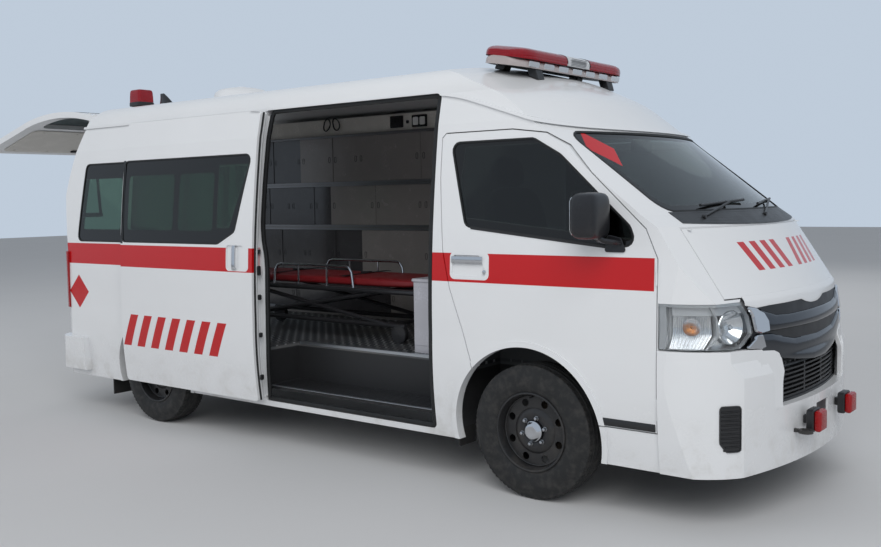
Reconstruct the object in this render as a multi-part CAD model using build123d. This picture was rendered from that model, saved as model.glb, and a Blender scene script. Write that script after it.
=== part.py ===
from build123d import *
import functools
import math
import os

# The frame: X runs to the nose, Y to the vehicle's left, Z up from the ground, in millimetres.
# Side-view tables give (distance ahead of the front axle, height above the ground).
# Front-view tables give (distance from the middle plane, height), for the left half.

# Overall sizes
WHEELBASE = 3110.0
FRONT_OVERHANG = 1150.0
REAR_OVERHANG = 1105.0
HALF_WIDTH = 940.0
ROOF_Z = 2285.0
SILL_Z = 250.0
FX = 2150.0
RX = FX - WHEELBASE
NOSE_X = FX + FRONT_OVERHANG
TAIL_X = RX - REAR_OVERHANG

# Walls, glass and gaps
WALL = 45.0
GLASS_THICK = 5.0
GLASS_INSET = 4.0
SEAT_GAP = 0.3
PANEL_GAP = 6.0
ROOM_INSET = WALL + SEAT_GAP
WINDOW_CORNER = 40.0

# Body form
CROWN_HALF = HALF_WIDTH - 240.0
CROWN_DROP = 50.0
UNDER_Z = SILL_Z - 200.0
NOSE_SWING = 2600.0
SWING_X = NOSE_X - NOSE_SWING
NOSE_CORNER_RADIUS = 400.0
NOSE_CORNER_BACK = 50.0
TAIL_CORNER_RADIUS = 160.0
BROW_BEND = 600.0
# Side view of the nose, as (distance from the foremost point, height)
NOSE_PROFILE = (
    (0, 700),
    (-22, 770),
    (-26, 905),
    (-50, 1040),
    (-267, 1385),
    (-340, 1438),
    (-865, 1868),
)
# The brow goes on from there in straight stretches with wide bends between them
BROW_PROFILE = ((-1110, 2065), (-1390, 2198), (-1660, 2270), (-2040, ROOF_Z + 20))
# Side view of the tail, as (distance ahead of the rearmost point, height)
TAIL_PROFILE = ((0, 500), (10, 1200), (85, 1750), (265, 2150), (600, ROOF_Z))
# Left half of the section at the waist and above, as (distance in from the full width, height)
SIDE_ARCS = (
    ((35, SILL_Z), (8, 480), (1, 800)),
    ((1, 800), (6, 1100), (22, 1370)),
    ((22, 1370), (50, 1650), (84, 1922)),
)
GUTTER_IN = (122, 2090)
SHOULDER_IN = (160, 2190)

# Where the shell is parted, as side views
ROOF_PART = ((-4500, 2090), (-560, 2090), (130, 1868), (560, 1868), (560, 2500), (-4500, 2500))
ROOF_PART_BEND = 1200.0
NOSE_PART = ((711, 0), (711, 1246), (590, 1438), (1500, 1438), (1500, 0))
GUTTER_PROUD = 12.0
GUTTER_TALL = 16.0
ARCH_LIP_PROUD = 8.0
ARCH_LIP_WIDE = 30.0

# Cab doors, as side views
DOOR_FRONT = 702.0
DOOR_LOW_Z = 440.0
CAB_DOOR = (
    (DOOR_FRONT, DOOR_LOW_Z),
    (DOOR_FRONT, 1240),
    (640, 1375),
    (190, 1780),
    (80, 1845),
    (-120, 1872),
    (-540, 1872),
    (-562, 1850),
    (-560, 1640),
    (-527, 1254),
    (-480, 1060),
    (-398, 848),
    (-330, 640),
    (-330, DOOR_LOW_Z),
)
CAB_WINDOW = ((-500, 1822), (10, 1822), (170, 1735), (560, 1390), (600, 1296), (440, 1296), (-385, 1385))
DOOR_HINGE_X = FX + DOOR_FRONT + PANEL_GAP / 2
DOOR_HINGE_Y = HALF_WIDTH + 1.0
DOOR_HINGE_Z = (500.0, 1120.0)
DOOR_PIN_LONG = 60.0
POST_X = (FX + 714.0, FX + 750.0)
POST_Y = (855.0, 888.0)
PIN_RADIUS = 2.6
HANDLE_POCKET = ((-470, 1125), (-460, 1235), (-290, 1235), (-240, 1125))
HANDLE_POCKET_DEPTH = 9.0
HANDLE_PROUD = 10.0
HANDLE_BAR = ((-455, 1200), (-452, 1224), (-295, 1224), (-284, 1200))

# Side windows and the sliding door, as side views
QUARTER_WINDOW = ((-3985, 1262), (-3395, 1262), (-3395, 1823), (-3915, 1823))
MIDDLE_WINDOW = ((-3315, 1268), (-2280, 1268), (-2120, 1345), (-1990, 1823), (-3315, 1823))
FORWARD_WINDOW = ((-1900, 1268), (-700, 1268), (-700, 1823), (-1900, 1823))
DOORWAY = ((-1985, 285), (-600, 285), (-600, 2095), (-1985, 2095))
DOORWAY_CORNER = 30.0
SLIDE_BACK = 1345.0
SLIDE_OUT = 80.0
SLIDE_WINDOW = tuple((x + SLIDE_BACK, z) for x, z in MIDDLE_WINDOW)
SLIDE_POCKET = ((-840, 1105), (-850, 1260), (-690, 1260), (-700, 1105))
SLIDE_BAR = ((-785, 1120), (-785, 1248), (-760, 1248), (-760, 1120))
RAIL_BAND_Z = (1205.0, 1235.0)
RAIL_PROUD = 18.0
RAIL_X = (FX - 3310.0, FX - 1960.0)
RAIL_ARM_X = (FX - 3250.0, FX - 2080.0)
RAIL_ARM_WIDE = 70.0

# Windscreen and wipers
SCREEN_HALF = 755.0
SCREEN_Z = (1452.0, 1852.0)
SCREEN_CORNER = 60.0
WIPER_Y = (-560.0, 60.0)
WIPER_FOOT_Z = 1425.0

# Bonnet
BONNET_HALF = 788.0
BONNET_Z = (1058.0, 1372.0)
BONNET_THICK = 24.0
BONNET_HINGE_X = FX + 768.6
BONNET_HINGE_Z = 1370.0
BONNET_PIN_Y = (730.0, 744.0, 758.0)

# Front: lamps, grille and bumper, as front views of the left half
LAMP_Z = (832.0, 1040.0)
LAMP_EDGE = ((705, LAMP_Z[1]), (655, 975), (650, 890), (735, LAMP_Z[0]))
LAMP_BACK_X = FX + 711.0
LAMP_DEPTH = 30.0
BUMPER_EDGE = ((530, 535), (548, 700), (600, 815), (735, 826))
BUMPER_PROUD = 12.0
BUMPER_THICK = 30.0
GRILLE_INSET = 4.0
MESH_INSETS = (36.0, 40.0)
SLAT_PITCH = 22.0
SLAT_SLOT = 13.0
RIB_Y = (-390.0, -130.0, 130.0, 390.0)
UPPER_BAR = ((0, 980), (560, 985), (672, 1030), (640, 975), (640, 930), (560, 925), (0, 925))
LOWER_BAR = ((0, 880), (560, 885), (642, 905), (646, 885), (712, 836), (600, 822), (0, 818))
CARRIER_INSETS = (36.0, 60.0)
CARRIER_LOW_Z = 985.0
FOG_RECESS = (300.0, 90.0, 130.0)
FOG_RECESS_TURN = 38.0
PLATE_RECESS = (95.0, 400.0, 490.0)
BUMPER_LAMP = (70.0, 110.0, 110.0)
BUMPER_LAMP_Y = 250.0
BUMPER_LAMP_Z = 440.0
TOW_EYE = (NOSE_X + 40.0, -350.0, 400.0)
TOW_EYE_RADII = (20.0, 34.0)
TOW_EYE_THICK = 16.0

# Tailgate, raised as it stands in use
GATE_LOW_Z = 560.0
GATE_HALF = 790.0
GATE_TOP_HALF = 725.0
GATE_HINGE_X = TAIL_X + 283.0
GATE_HINGE_Z = 2168.0
GATE_OPEN = 75.0
GATE_WINDOW_HALF = 680.0
GATE_WINDOW_Z = (1265.0, 1830.0)
GATE_WINDOW_CORNER = 70.0
GATE_PIN_Y = (480.0, 540.0, 580.0)
STRUT_Y = 690.0
STRUT_FOOT = (TAIL_X + 180.0, 1450.0)
STRUT_EYE = (TAIL_X + 275.0, 2000.0)
STRUT_TUBE = (11.0, 400.0)
STRUT_ROD = (5.0, 420.0)
STRUT_EYE_HALF = 11.0
REAR_BUMPER_PROUD = 50.0
TAIL_LAMP_PROUD = 14.0

# Wheels
TYRE_RADIUS = 346.0
TYRE_WIDTH = 195.0
RIM_RADIUS = 203.0
RIM_WALL = 8.0
RIM_HOLES = 8
RIM_DISC_OUT = 34.0
HALF_TRACK = 827.0
ARCH_BACK = 20.0
ARCH_RADIUS = 435.0
REAR_ARCH_RADIUS = 400.0
HUB_RADIUS = 75.0
HUB_SPIGOT = 50.0
KINGPIN_Y = 715.0
KNUCKLE_Z = (252.0, 500.0)
FLANGE_Y = HALF_TRACK + 30.0 - SEAT_GAP

# Floors
LOAD_FLOOR_Z = 620.0
FLOOR_THICK = 40.0
FLOOR_UNDER_Z = LOAD_FLOOR_Z - FLOOR_THICK
CAB_SHELF_Z = 850.0
FOOT_FLOOR_Z = 470.0
STEP_Z = 380.0
STEP_INNER_Y = 600.0
STEP_SHEET = 25.0
WELL_X = (FX - 1975.0, FX - 610.0)
TOE_BOARD_X = (FX + 880.0, FX + 900.0)
HOUSING_GAP = 10.0
HOUSING_WALL = 15.0

# Running gear
RAIL_Y = (390.0, 455.0)
RAIL_Z = (430.0, FLOOR_UNDER_Z)
FRONT_RAIL_Z = (320.0, 425.0)
FRAME_FRONT_X = NOSE_X - 110.0
CROSS_X = (FX - 1100.0, RX + 1480.0, RX + 500.0, RX - 480.0, TAIL_X + 220.0)
CROSS_Z = (530.0, FLOOR_UNDER_Z)
ARM_BALL_Z = 205.0
SPRING_Y = (495.0, 560.0)
SPRING_HALF = 600.0
EXHAUST_Y = 270.0
EXHAUST_Z = 475.0
GEARBOX_REAR_X = FX - 1000.0
SHAFT_FRONT_Z = 490.0
AXLE_NOSE_X = RX + 230.0

# Cab and load space
SEAT_Y = 450.0
SEAT_TILT = 14.0
WHEEL_CENTRE = (FX + 430.0, 420.0, 1218.0)
WHEEL_FACING = (-130.0, 0.0, 75.0)
WHEEL_RING = (185.0, 15.0)
DASH = (
    (560, 900),
    (880 - SEAT_GAP, 900),
    (880 - SEAT_GAP, 1000),
    (860, 1200),
    (700, 1330),
    (560, 1290),
    (520, 1150),
)
CUPBOARD_X = (RX + 460.0, FX - 680.0)
CUPBOARD_Y = 560.0
CUPBOARD_TOP_Z = 2040.0
CUPBOARD_ROWS = ((700, 1080), (1110, 1380), (1410, 1700), (1730, 2000))
CUPBOARD_COLUMNS = 4
BED_X = (FX - 3100.0, FX - 1150.0)
BED_Y = -120.0
BED_Z = 950.0
BED_LOW_Z = 730.0
BED_HALF = 250.0

# Roof equipment
BAR_X = FX - 450.0
BAR_SIZE = (260.0, 1300.0, 100.0)
BAR_Z = 2325.0
BEACON_X = FX - 3730.0
BEACON_Y = -500.0
VENT_X = FX - 3030.0
VENT_Y = -100.0

SIDES = (("right", -1), ("left", 1))
AXLES = (("front", FX), ("rear", RX))


def box(x0, x1, y0, y1, z0, z1):
    """Box between two corners."""
    return Pos((x0 + x1) / 2, (y0 + y1) / 2, (z0 + z1) / 2) * Box(x1 - x0, y1 - y0, z1 - z0)


def side_box(side, x0, x1, near, far, z0, z1):
    """Box on one side of the vehicle, between two distances from its middle plane."""
    y0, y1 = sorted((side * near, side * far))
    return box(x0, x1, y0, y1, z0, z1)


def bar_y(x, y0, y1, z, radius):
    """Round bar along Y."""
    return Pos(x, (y0 + y1) / 2, z) * Rot(90, 0, 0) * Cylinder(radius, abs(y1 - y0))


def bar_x(x0, x1, y, z, radius):
    """Round bar along X."""
    return Pos((x0 + x1) / 2, y, z) * Rot(0, 90, 0) * Cylinder(radius, x1 - x0)


def bar(start, end, radius):
    """Round bar between two points."""
    a = Vector(*start)
    b = Vector(*end)
    return Plane(origin=(a + b) * 0.5, z_dir=b - a) * Cylinder(radius, (b - a).length)


def joined(pieces):
    """One shape made of several."""
    first, *others = pieces
    return first + others if others else first


def mirrored(part):
    """The same piece on the other side."""
    return mirror(part, about=Plane.XZ)


def on_side(side, part):
    """A piece drawn on the left, put on the side asked for."""
    return part if side > 0 else mirrored(part)


def side_face(points, corner=0, grow=0):
    """Outline in the side view, its points measured from the front axle."""
    face = make_face(Polyline(*[(FX + x, z) for x, z in points], close=True))
    if corner:
        face = fillet(face.vertices(), corner)
    if grow:
        face = offset(face, grow, kind=Kind.INTERSECTION)
    return Rot(90, 0, 0) * face


def side_block(points, y0, y1, corner=0, grow=0):
    """Side-view outline carried across the vehicle from y0 to y1."""
    return Pos(0, y1, 0) * extrude(side_face(points, corner, grow), amount=y1 - y0, dir=(0, -1, 0))


def through_side(side, points, corner=0, grow=0):
    """Side-view outline carried through one side of the body only."""
    y0, y1 = sorted((side * 500, side * 1100))
    return side_block(points, y0, y1, corner, grow)


def front_block(points, x0, x1, grow=0):
    """Front-view outline carried along X."""
    face = make_face(Polyline(*points, close=True))
    if grow:
        face = offset(face, grow, kind=Kind.INTERSECTION)
    return Pos(x0, 0, 0) * extrude(Plane.YZ * face, amount=x1 - x0, dir=(1, 0, 0))


def both_halves(half):
    """Front-view points of the left half, with their mirror image added."""
    return list(half) + [(-y, z) for y, z in reversed(half) if y]


def body_section(inset):
    """Half of the body's cross-section with its whole crown, with the wall taken off."""
    w = HALF_WIDTH
    gutter = (w - GUTTER_IN[0], GUTTER_IN[1])
    shoulder = (w - SHOULDER_IN[0], SHOULDER_IN[1])
    crown_z = ROOF_Z - CROWN_DROP
    foot = w - SIDE_ARCS[0][0][0]
    with BuildSketch(Plane.YZ) as sketch:
        with BuildLine():
            Polyline((-CROWN_HALF, crown_z), (-CROWN_HALF, UNDER_Z), (foot, UNDER_Z), (foot, SILL_Z))
            for arc in SIDE_ARCS:
                ThreePointArc(*[(w - d, z) for d, z in arc])
            Line((w - SIDE_ARCS[-1][-1][0], SIDE_ARCS[-1][-1][1]), gutter)
            ThreePointArc(gutter, shoulder, (CROWN_HALF, crown_z))
            ThreePointArc((CROWN_HALF, crown_z), (0, ROOF_Z), (-CROWN_HALF, crown_z))
        make_face()
    return offset(sketch.sketch, -inset, kind=Kind.INTERSECTION) if inset else sketch.sketch


def nose_form(inset):
    """What lies ahead of the nose, windscreen and brow, turned about an upright axis far behind."""
    points = [(NOSE_X + dx, z) for dx, z in NOSE_PROFILE + BROW_PROFILE]
    beyond = NOSE_X + 400
    low_z = UNDER_Z - 100
    high_z = ROOF_Z + 300
    face = make_face(Polyline((beyond, low_z), (NOSE_X, low_z), *points,
                              (points[-1][0], high_z), (beyond, high_z), close=True))
    bends = [NOSE_X + dx for dx, z in BROW_PROFILE[:-1]]
    corners = [v for v in face.vertices() if any(abs(v.X - x) < 1 for x in bends)]
    face = fillet(corners, BROW_BEND)
    face = Rot(90, 0, 0) * (offset(face, inset, kind=Kind.INTERSECTION) if inset else face)
    upright = Axis((SWING_X, 0, 0), (0, 0, 1))
    return revolve(face.rotate(upright, -90), axis=upright, revolution_arc=180)


def plan_form(inset):
    """Plan view with its rounded nose and tail corners, carried upwards."""
    half = HALF_WIDTH + 3
    low = UNDER_Z - 50
    nose_x = NOSE_X - NOSE_CORNER_BACK - NOSE_CORNER_RADIUS
    tail_x = TAIL_X + TAIL_CORNER_RADIUS
    diagonal = math.sqrt(0.5)
    arcs = []
    for x, full, ahead in ((tail_x, TAIL_CORNER_RADIUS, -1), (nose_x, NOSE_CORNER_RADIUS, 1)):
        r = full - inset
        y = half - full
        arcs.append(((x, y + r), (x + ahead * r * diagonal, y + r * diagonal), (x + ahead * r, y)))
    tail, nose = arcs
    beyond = NOSE_X + 200
    with BuildSketch(Plane.XY) as sketch:
        with BuildLine():
            ThreePointArc(*reversed(tail))
            Line(tail[0], nose[0])
            ThreePointArc(*nose)
            Polyline(nose[2], (beyond, nose[2][1]), (beyond, 0), (tail[2][0], 0), tail[2])
        make_face()
    half_plan = Pos(0, 0, low) * extrude(sketch.sketch, amount=ROOF_Z + 100 - low, dir=(0, 0, 1))
    return half_plan + mirrored(half_plan)


def tail_form(inset):
    """What lies behind the tail's side view."""
    points = [(TAIL_X + dx, z) for dx, z in TAIL_PROFILE]
    top_bend = ((points[3][0] + points[4][0]) / 2 - 30, ROOF_Z - 40)
    with BuildSketch(Plane.XZ) as sketch:
        with BuildLine():
            Polyline((SWING_X, UNDER_Z), (TAIL_X, UNDER_Z), points[0], points[1])
            ThreePointArc(points[1], points[2], points[3])
            ThreePointArc(points[3], top_bend, points[4])
            Polyline(points[4], (SWING_X, ROOF_Z + 120), (SWING_X, UNDER_Z))
        make_face()
    face = offset(sketch.sketch, -inset, kind=Kind.INTERSECTION) if inset else sketch.sketch
    kept = Pos(0, 1500, 0) * extrude(face, amount=3000, dir=(0, -1, 0))
    behind = box(TAIL_X - 300, TAIL_X + 1200, -1400, 1400, UNDER_Z - 100, ROOF_Z + 200)
    return behind - kept


@functools.cache
def body_form(inset):
    """The whole body as one solid, with a thickness taken off all round."""
    length = NOSE_X - TAIL_X + 400
    half = Pos(TAIL_X - 200, 0, 0) * extrude(body_section(inset), amount=length, dir=(1, 0, 0))
    half &= box(TAIL_X - 300, NOSE_X + 300, 0, 2 * HALF_WIDTH, 0, 2 * ROOF_Z)
    solid = half + mirrored(half)
    return (solid & plan_form(inset)) - nose_form(inset) - tail_form(inset)


def layer(outer, inner):
    """Skin of the body between two depths below its surface."""
    return body_form(outer) - body_form(inner)


def roof_zone():
    """Everything above the gutter line, which bends down to the windscreen's head."""
    face = make_face(Polyline(*[(FX + x, z) for x, z in ROOF_PART], close=True))
    bends = [v for v in face.vertices() if any(math.dist((v.X - FX, v.Y), p) < 1 for p in ROOF_PART[1:3])]
    face = Rot(90, 0, 0) * fillet(bends, ROOF_PART_BEND)
    return Pos(0, 1500, 0) * extrude(face, amount=3000, dir=(0, -1, 0))


def gate_zone(grow=0):
    """Outline of the tailgate seen from behind, carried forwards to its hinge line."""
    half = ((0, GATE_LOW_Z), (GATE_HALF, GATE_LOW_Z), (GATE_HALF, 1250), (GATE_TOP_HALF, 2140),
            (GATE_TOP_HALF, 2500), (0, 2500))
    points = [p for p in both_halves(half) if p[0]]
    return front_block(points, TAIL_X - 300, GATE_HINGE_X - PANEL_GAP / 2 + grow, grow)


def arches(side, front_radius, rear_radius):
    """Wheel openings of one side."""
    y0, y1 = side * 500, side * 1100
    front = bar_y(FX - ARCH_BACK, y0, y1, TYRE_RADIUS, front_radius)
    return front + bar_y(RX, y0, y1, TYRE_RADIUS, rear_radius)


def make_shell(roof):
    """Body walls of even thickness, with the gutter along the roof and the lips of the arches."""
    above_sill = box(TAIL_X - 500, NOSE_X + 500, -1500, 1500, SILL_Z, ROOF_Z + 200)
    shell = layer(0, WALL) & above_sill
    shell += layer(-GUTTER_PROUD, GLASS_INSET) & (roof - Pos(0, 0, GUTTER_TALL) * roof)
    for name, side in SIDES:
        wide = arches(side, ARCH_RADIUS + ARCH_LIP_WIDE, REAR_ARCH_RADIUS + ARCH_LIP_WIDE)
        ring = wide - arches(side, ARCH_RADIUS, REAR_ARCH_RADIUS)
        shell += layer(-ARCH_LIP_PROUD, GLASS_INSET) & ring & above_sill
    return shell


def screen_opening(gap=0):
    """Windscreen's opening, or its pane where a gap is left round it."""
    half = SCREEN_HALF - gap
    block = box(FX + 60, NOSE_X, -half, half, SCREEN_Z[0] + gap, SCREEN_Z[1] - gap)
    return fillet(block.edges().filter_by(Axis.X), SCREEN_CORNER)


def handle(pocket, grip):
    """Door handle's pocket and the bar across it, both as side-view outlines."""
    def cut(side):
        return layer(-HANDLE_PROUD, HANDLE_POCKET_DEPTH) & through_side(side, pocket, 18)

    def rod(side):
        return layer(-HANDLE_PROUD, HANDLE_POCKET_DEPTH) & through_side(side, grip)
    return cut, rod


def body_sides(parts, shell, roof, nose, tail, screen):
    """Fixed sides, cab doors, the sliding door drawn back, and all their panes."""
    skin = layer(GLASS_INSET, GLASS_INSET + GLASS_THICK)
    cab_cut, cab_rod = handle(HANDLE_POCKET, HANDLE_BAR)
    slide_cut, slide_rod = handle(SLIDE_POCKET, SLIDE_BAR)
    drawn_back = Pos(-SLIDE_BACK, -SLIDE_OUT, 0)
    panes = []
    for name, side in SIDES:
        half = side_box(side, TAIL_X - 500, NOSE_X + 500, 0, 1500, 0, 3000)
        panel = (shell & half) - roof - nose - tail - screen
        panel -= side_box(side, TAIL_X - 300, TAIL_X + 100, 0, GATE_HALF, 0, GATE_LOW_Z + 30)
        panel -= through_side(side, CAB_DOOR, 0, PANEL_GAP)
        panel -= arches(side, ARCH_RADIUS, REAR_ARCH_RADIUS)
        windows = [QUARTER_WINDOW, MIDDLE_WINDOW]
        if side > 0:
            windows.append(FORWARD_WINDOW)
        for outline in windows:
            panel -= through_side(side, outline, WINDOW_CORNER)
            panes.append(skin & through_side(side, outline, WINDOW_CORNER, -SEAT_GAP))
        if side < 0:
            doorway = through_side(side, DOORWAY, DOORWAY_CORNER)
            panel -= doorway
            parts["roof"] -= doorway
            door = shell & through_side(side, DOORWAY, DOORWAY_CORNER, -PANEL_GAP)
            door -= through_side(side, SLIDE_WINDOW, WINDOW_CORNER)
            door = door - slide_cut(side) + slide_rod(side)
            parts["sliding_door"] = drawn_back * door
            pane = skin & through_side(side, SLIDE_WINDOW, WINDOW_CORNER, -SEAT_GAP)
            panes.append(drawn_back * pane)
        parts["side_" + name] = panel
        door = shell & through_side(side, CAB_DOOR)
        door -= through_side(side, CAB_WINDOW, WINDOW_CORNER)
        door = door - arches(side, ARCH_RADIUS, 10) - roof
        parts["door_" + name] = door - cab_cut(side) + cab_rod(side)
        parts["door_glass_" + name] = skin & through_side(side, CAB_WINDOW, WINDOW_CORNER, -SEAT_GAP)
    parts["side_glass"] = joined(panes)


def door_rail(parts):
    """Rail along the side with the two arms that carry the sliding door."""
    far = side_box(-1, RAIL_X[0], RAIL_X[1], 800, 1100, *RAIL_BAND_Z)
    rail = layer(-RAIL_PROUD, -SEAT_GAP) & far
    inside_door = Pos(0, -SLIDE_OUT, 0) * body_form(ROOM_INSET)
    for x in RAIL_ARM_X:
        arm = side_box(-1, x, x + RAIL_ARM_WIDE, 920, 1100, RAIL_BAND_Z[0] - 10, RAIL_BAND_Z[1] + 10)
        rail += (inside_door & arm) - body_form(1 - RAIL_PROUD)
    parts["door_rails"] = rail


def nose_reach(z):
    """Distance of the nose's surface from its upright axis at a height."""
    for (dx0, z0), (dx1, z1) in zip(NOSE_PROFILE, NOSE_PROFILE[1:]):
        if z0 <= z <= z1:
            return NOSE_SWING + dx0 + (dx1 - dx0) * (z - z0) / (z1 - z0)
    raise ValueError("height outside the nose's profile")


def ahead_of_cowl(half, low, reach):
    """Block across the nose, cut off behind by an upright drum that the bonnet's rear edge follows."""
    block = box(FX + 600, NOSE_X + 50, -half, half, low, SCREEN_Z[0])
    return block - Pos(SWING_X, 0, ROOF_Z / 2) * Cylinder(reach, ROOF_Z)


def front_end(parts, shell, nose, screen):
    """Wings with the lamp carrier, bonnet, lamps, grille and bumper."""
    x0 = LAMP_BACK_X
    x1 = NOSE_X + 50
    lamp_outer = [(1100, LAMP_Z[0]), (1100, LAMP_Z[1])]
    lamp_points = list(LAMP_EDGE) + [lamp_outer[0], lamp_outer[1]]
    lamp_zone = joined([on_side(s, front_block(lamp_points, x0, x1)) for n, s in SIDES])
    bumper_points = list(BUMPER_EDGE) + [(1100, BUMPER_EDGE[-1][1]), (1100, 0), (0, 0), (0, BUMPER_EDGE[0][1])]
    bumper_zone = joined([on_side(s, front_block(bumper_points, x0, x1)) for n, s in SIDES])
    bonnet_low, bonnet_top = BONNET_Z
    grille_top = bonnet_low - PANEL_GAP
    grille_half = [(0, BUMPER_EDGE[0][1]), *BUMPER_EDGE, *reversed(LAMP_EDGE), (690, grille_top), (0, grille_top)]
    grille_points = [p for p in both_halves(grille_half) if p[0]]
    rear_edge = nose_reach(bonnet_top)
    bonnet_hole = ahead_of_cowl(BONNET_HALF + PANEL_GAP, grille_top, rear_edge - PANEL_GAP)
    near, middle, far = BONNET_PIN_Y
    hinge_bores = bar_y(BONNET_HINGE_X, near - 2, far + 2, BONNET_HINGE_Z, PIN_RADIUS + 0.6)
    hinge_bores += mirrored(hinge_bores)

    wings = (shell & nose) - bonnet_hole - screen - hinge_bores
    wings -= box(x0, x1, -1100, 1100, 0, LAMP_Z[0] + 1) + lamp_zone
    wings -= front_block(grille_points, x0, x1)
    for name, side in SIDES:
        wings -= through_side(side, CAB_DOOR, 0, PANEL_GAP)
    wings += layer(*CARRIER_INSETS) & box(FX + 760, NOSE_X, -900, 900, CARRIER_LOW_Z, grille_top)
    parts["nose_panel"] = wings

    bonnet = layer(0, BONNET_THICK) & ahead_of_cowl(BONNET_HALF, bonnet_low, rear_edge)
    parts["bonnet"] = bonnet - hinge_bores
    parts["grille"], parts["grille_bars"] = grille(grille_points)

    lamps = layer(0, LAMP_DEPTH) & lamp_zone
    bumper = layer(-BUMPER_PROUD, BUMPER_THICK) & bumper_zone
    bumper &= box(x0, x1, -1100, 1100, SILL_Z, LAMP_Z[0])
    bumper_lamps = []
    plate_half, plate_low, plate_top = PLATE_RECESS
    bumper -= layer(-BUMPER_PROUD, 0) & box(x0, x1, -plate_half, plate_half, plate_low, plate_top)
    for name, side in SIDES:
        bumper -= Pos(NOSE_X - 150, side * 800, 440) * Rot(0, 0, FOG_RECESS_TURN * side) * Box(*FOG_RECESS)
        # Crash brackets that meet the frame's front beam
        bumper += side_box(side, FRAME_FRONT_X, NOSE_X - 48, *RAIL_Y, FRONT_RAIL_Z[0] + 10, FRONT_RAIL_Z[1] - 40)
        y = side * BUMPER_LAMP_Y
        z = BUMPER_LAMP_Z
        lamp = Pos(NOSE_X + 60, y, z) * Box(*BUMPER_LAMP)
        lamp = fillet(lamp.edges().filter_by(Axis.X), 12)
        bumper_lamps.append(lamp + box(NOSE_X + 2.2, NOSE_X + 30, y - 20, y + 20, z - 20, z + 20))
    eye_y, eye_z = TOW_EYE[1:]
    bumper -= box(NOSE_X - 150, x1, eye_y - 11, eye_y + 11, eye_z - 10, eye_z + 10)
    parts["front_bumper"] = bumper
    parts["front_lamps"] = lamps
    parts["bumper_lamps"] = joined(bumper_lamps)


def grille(outline):
    """Slatted sheet behind the openings, with the two winged bars and the edge frame in front."""
    x0 = LAMP_BACK_X + 100
    x1 = NOSE_X + 50
    zone = front_block(outline, x0, x1, -SEAT_GAP)
    low_z = BUMPER_EDGE[0][1]
    sheet = layer(*MESH_INSETS) & zone
    top_z = CARRIER_LOW_Z - PANEL_GAP
    sheet &= box(x0, x1, -700, 700, low_z, top_z)
    slots = []
    z = low_z + SLAT_PITCH
    edges = [-620.0, *RIB_Y, 620.0]
    while z < top_z - SLAT_PITCH:
        for a, b in zip(edges, edges[1:]):
            slots.append(box(x0, x1, a + 8, b - 8, z, z + SLAT_SLOT))
        z += SLAT_PITCH
    inner = front_block(outline, x0, x1, -25)
    sheet -= joined(slots) & inner
    frame = layer(LAMP_DEPTH, MESH_INSETS[1]) & (zone - front_block(outline, x0, x1, -12))
    frame &= box(x0, x1, -700, 700, low_z, top_z)
    bars = [front_block(both_halves(points), x0, x1) for points in (UPPER_BAR, LOWER_BAR)]
    bars = joined(bars)
    front = layer(GRILLE_INSET, MESH_INSETS[0] - SEAT_GAP) & zone & bars
    back = (sheet + frame) - (layer(GRILLE_INSET, MESH_INSETS[0]) & bars)
    return back, front


def raised(part):
    """A piece of the shut tailgate, turned up about its hinge."""
    pivot = Pos(GATE_HINGE_X, 0, GATE_HINGE_Z)
    return pivot * Rot(0, GATE_OPEN, 0) * Pos(-GATE_HINGE_X, 0, -GATE_HINGE_Z) * part


def gate_window(gap=0):
    """Tailgate's window opening, or its pane where a gap is left round it."""
    half = GATE_WINDOW_HALF - gap
    block = box(TAIL_X - 200, TAIL_X + 400, -half, half, GATE_WINDOW_Z[0] + gap, GATE_WINDOW_Z[1] - gap)
    return fillet(block.edges().filter_by(Axis.X), GATE_WINDOW_CORNER)


def tail_end(parts, shell):
    """Tailgate with its glass, bumper, lamps and gas struts."""
    parts["tailgate"] = raised((shell & gate_zone()) - gate_window())
    skin = layer(GLASS_INSET, GLASS_INSET + GLASS_THICK)
    parts["tailgate_glass"] = raised(skin & gate_window(SEAT_GAP))
    bumper_zone = box(TAIL_X - 100, TAIL_X + 330, -1100, 1100, 300, 545)
    parts["rear_bumper"] = layer(-REAR_BUMPER_PROUD, -SEAT_GAP) & bumper_zone
    band = layer(-TAIL_LAMP_PROUD, -SEAT_GAP)
    lamps = [band & side_box(s, TAIL_X - 50, TAIL_X + 120, 800, 1000, 760, 1180) for n, s in SIDES]
    parts["tail_lamps"] = joined(lamps)
    foot = Vector(STRUT_FOOT[0], STRUT_Y, STRUT_FOOT[1])
    eye_place = raised(Pos(STRUT_EYE[0], STRUT_Y, STRUT_EYE[1]) * Sphere(1)).center()
    aim = (eye_place - foot).normalized()
    tube_radius, tube_long = STRUT_TUBE
    rod_radius, rod_long = STRUT_ROD
    e = STRUT_EYE_HALF
    end = foot + aim * tube_long
    tube = bar(tuple(foot), tuple(end), tube_radius)
    tube += bar_y(foot.X, STRUT_Y - e, STRUT_Y + e, foot.Z, tube_radius + 3)
    tube -= bar_y(foot.X, STRUT_Y - e - 1, STRUT_Y + e + 1, foot.Z, 5 + SEAT_GAP)
    bore = bar(tuple(foot + aim * 20), tuple(end + aim), rod_radius + 0.5)
    rod = bar(tuple(eye_place - aim * rod_long), tuple(eye_place), rod_radius)
    rod += bar_y(eye_place.X, STRUT_Y - 8, STRUT_Y + 8, eye_place.Z, 10)
    for name, side in SIDES:
        parts["strut_tube_" + name] = on_side(side, tube - bore)
        parts["strut_rod_" + name] = on_side(side, rod)


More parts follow.
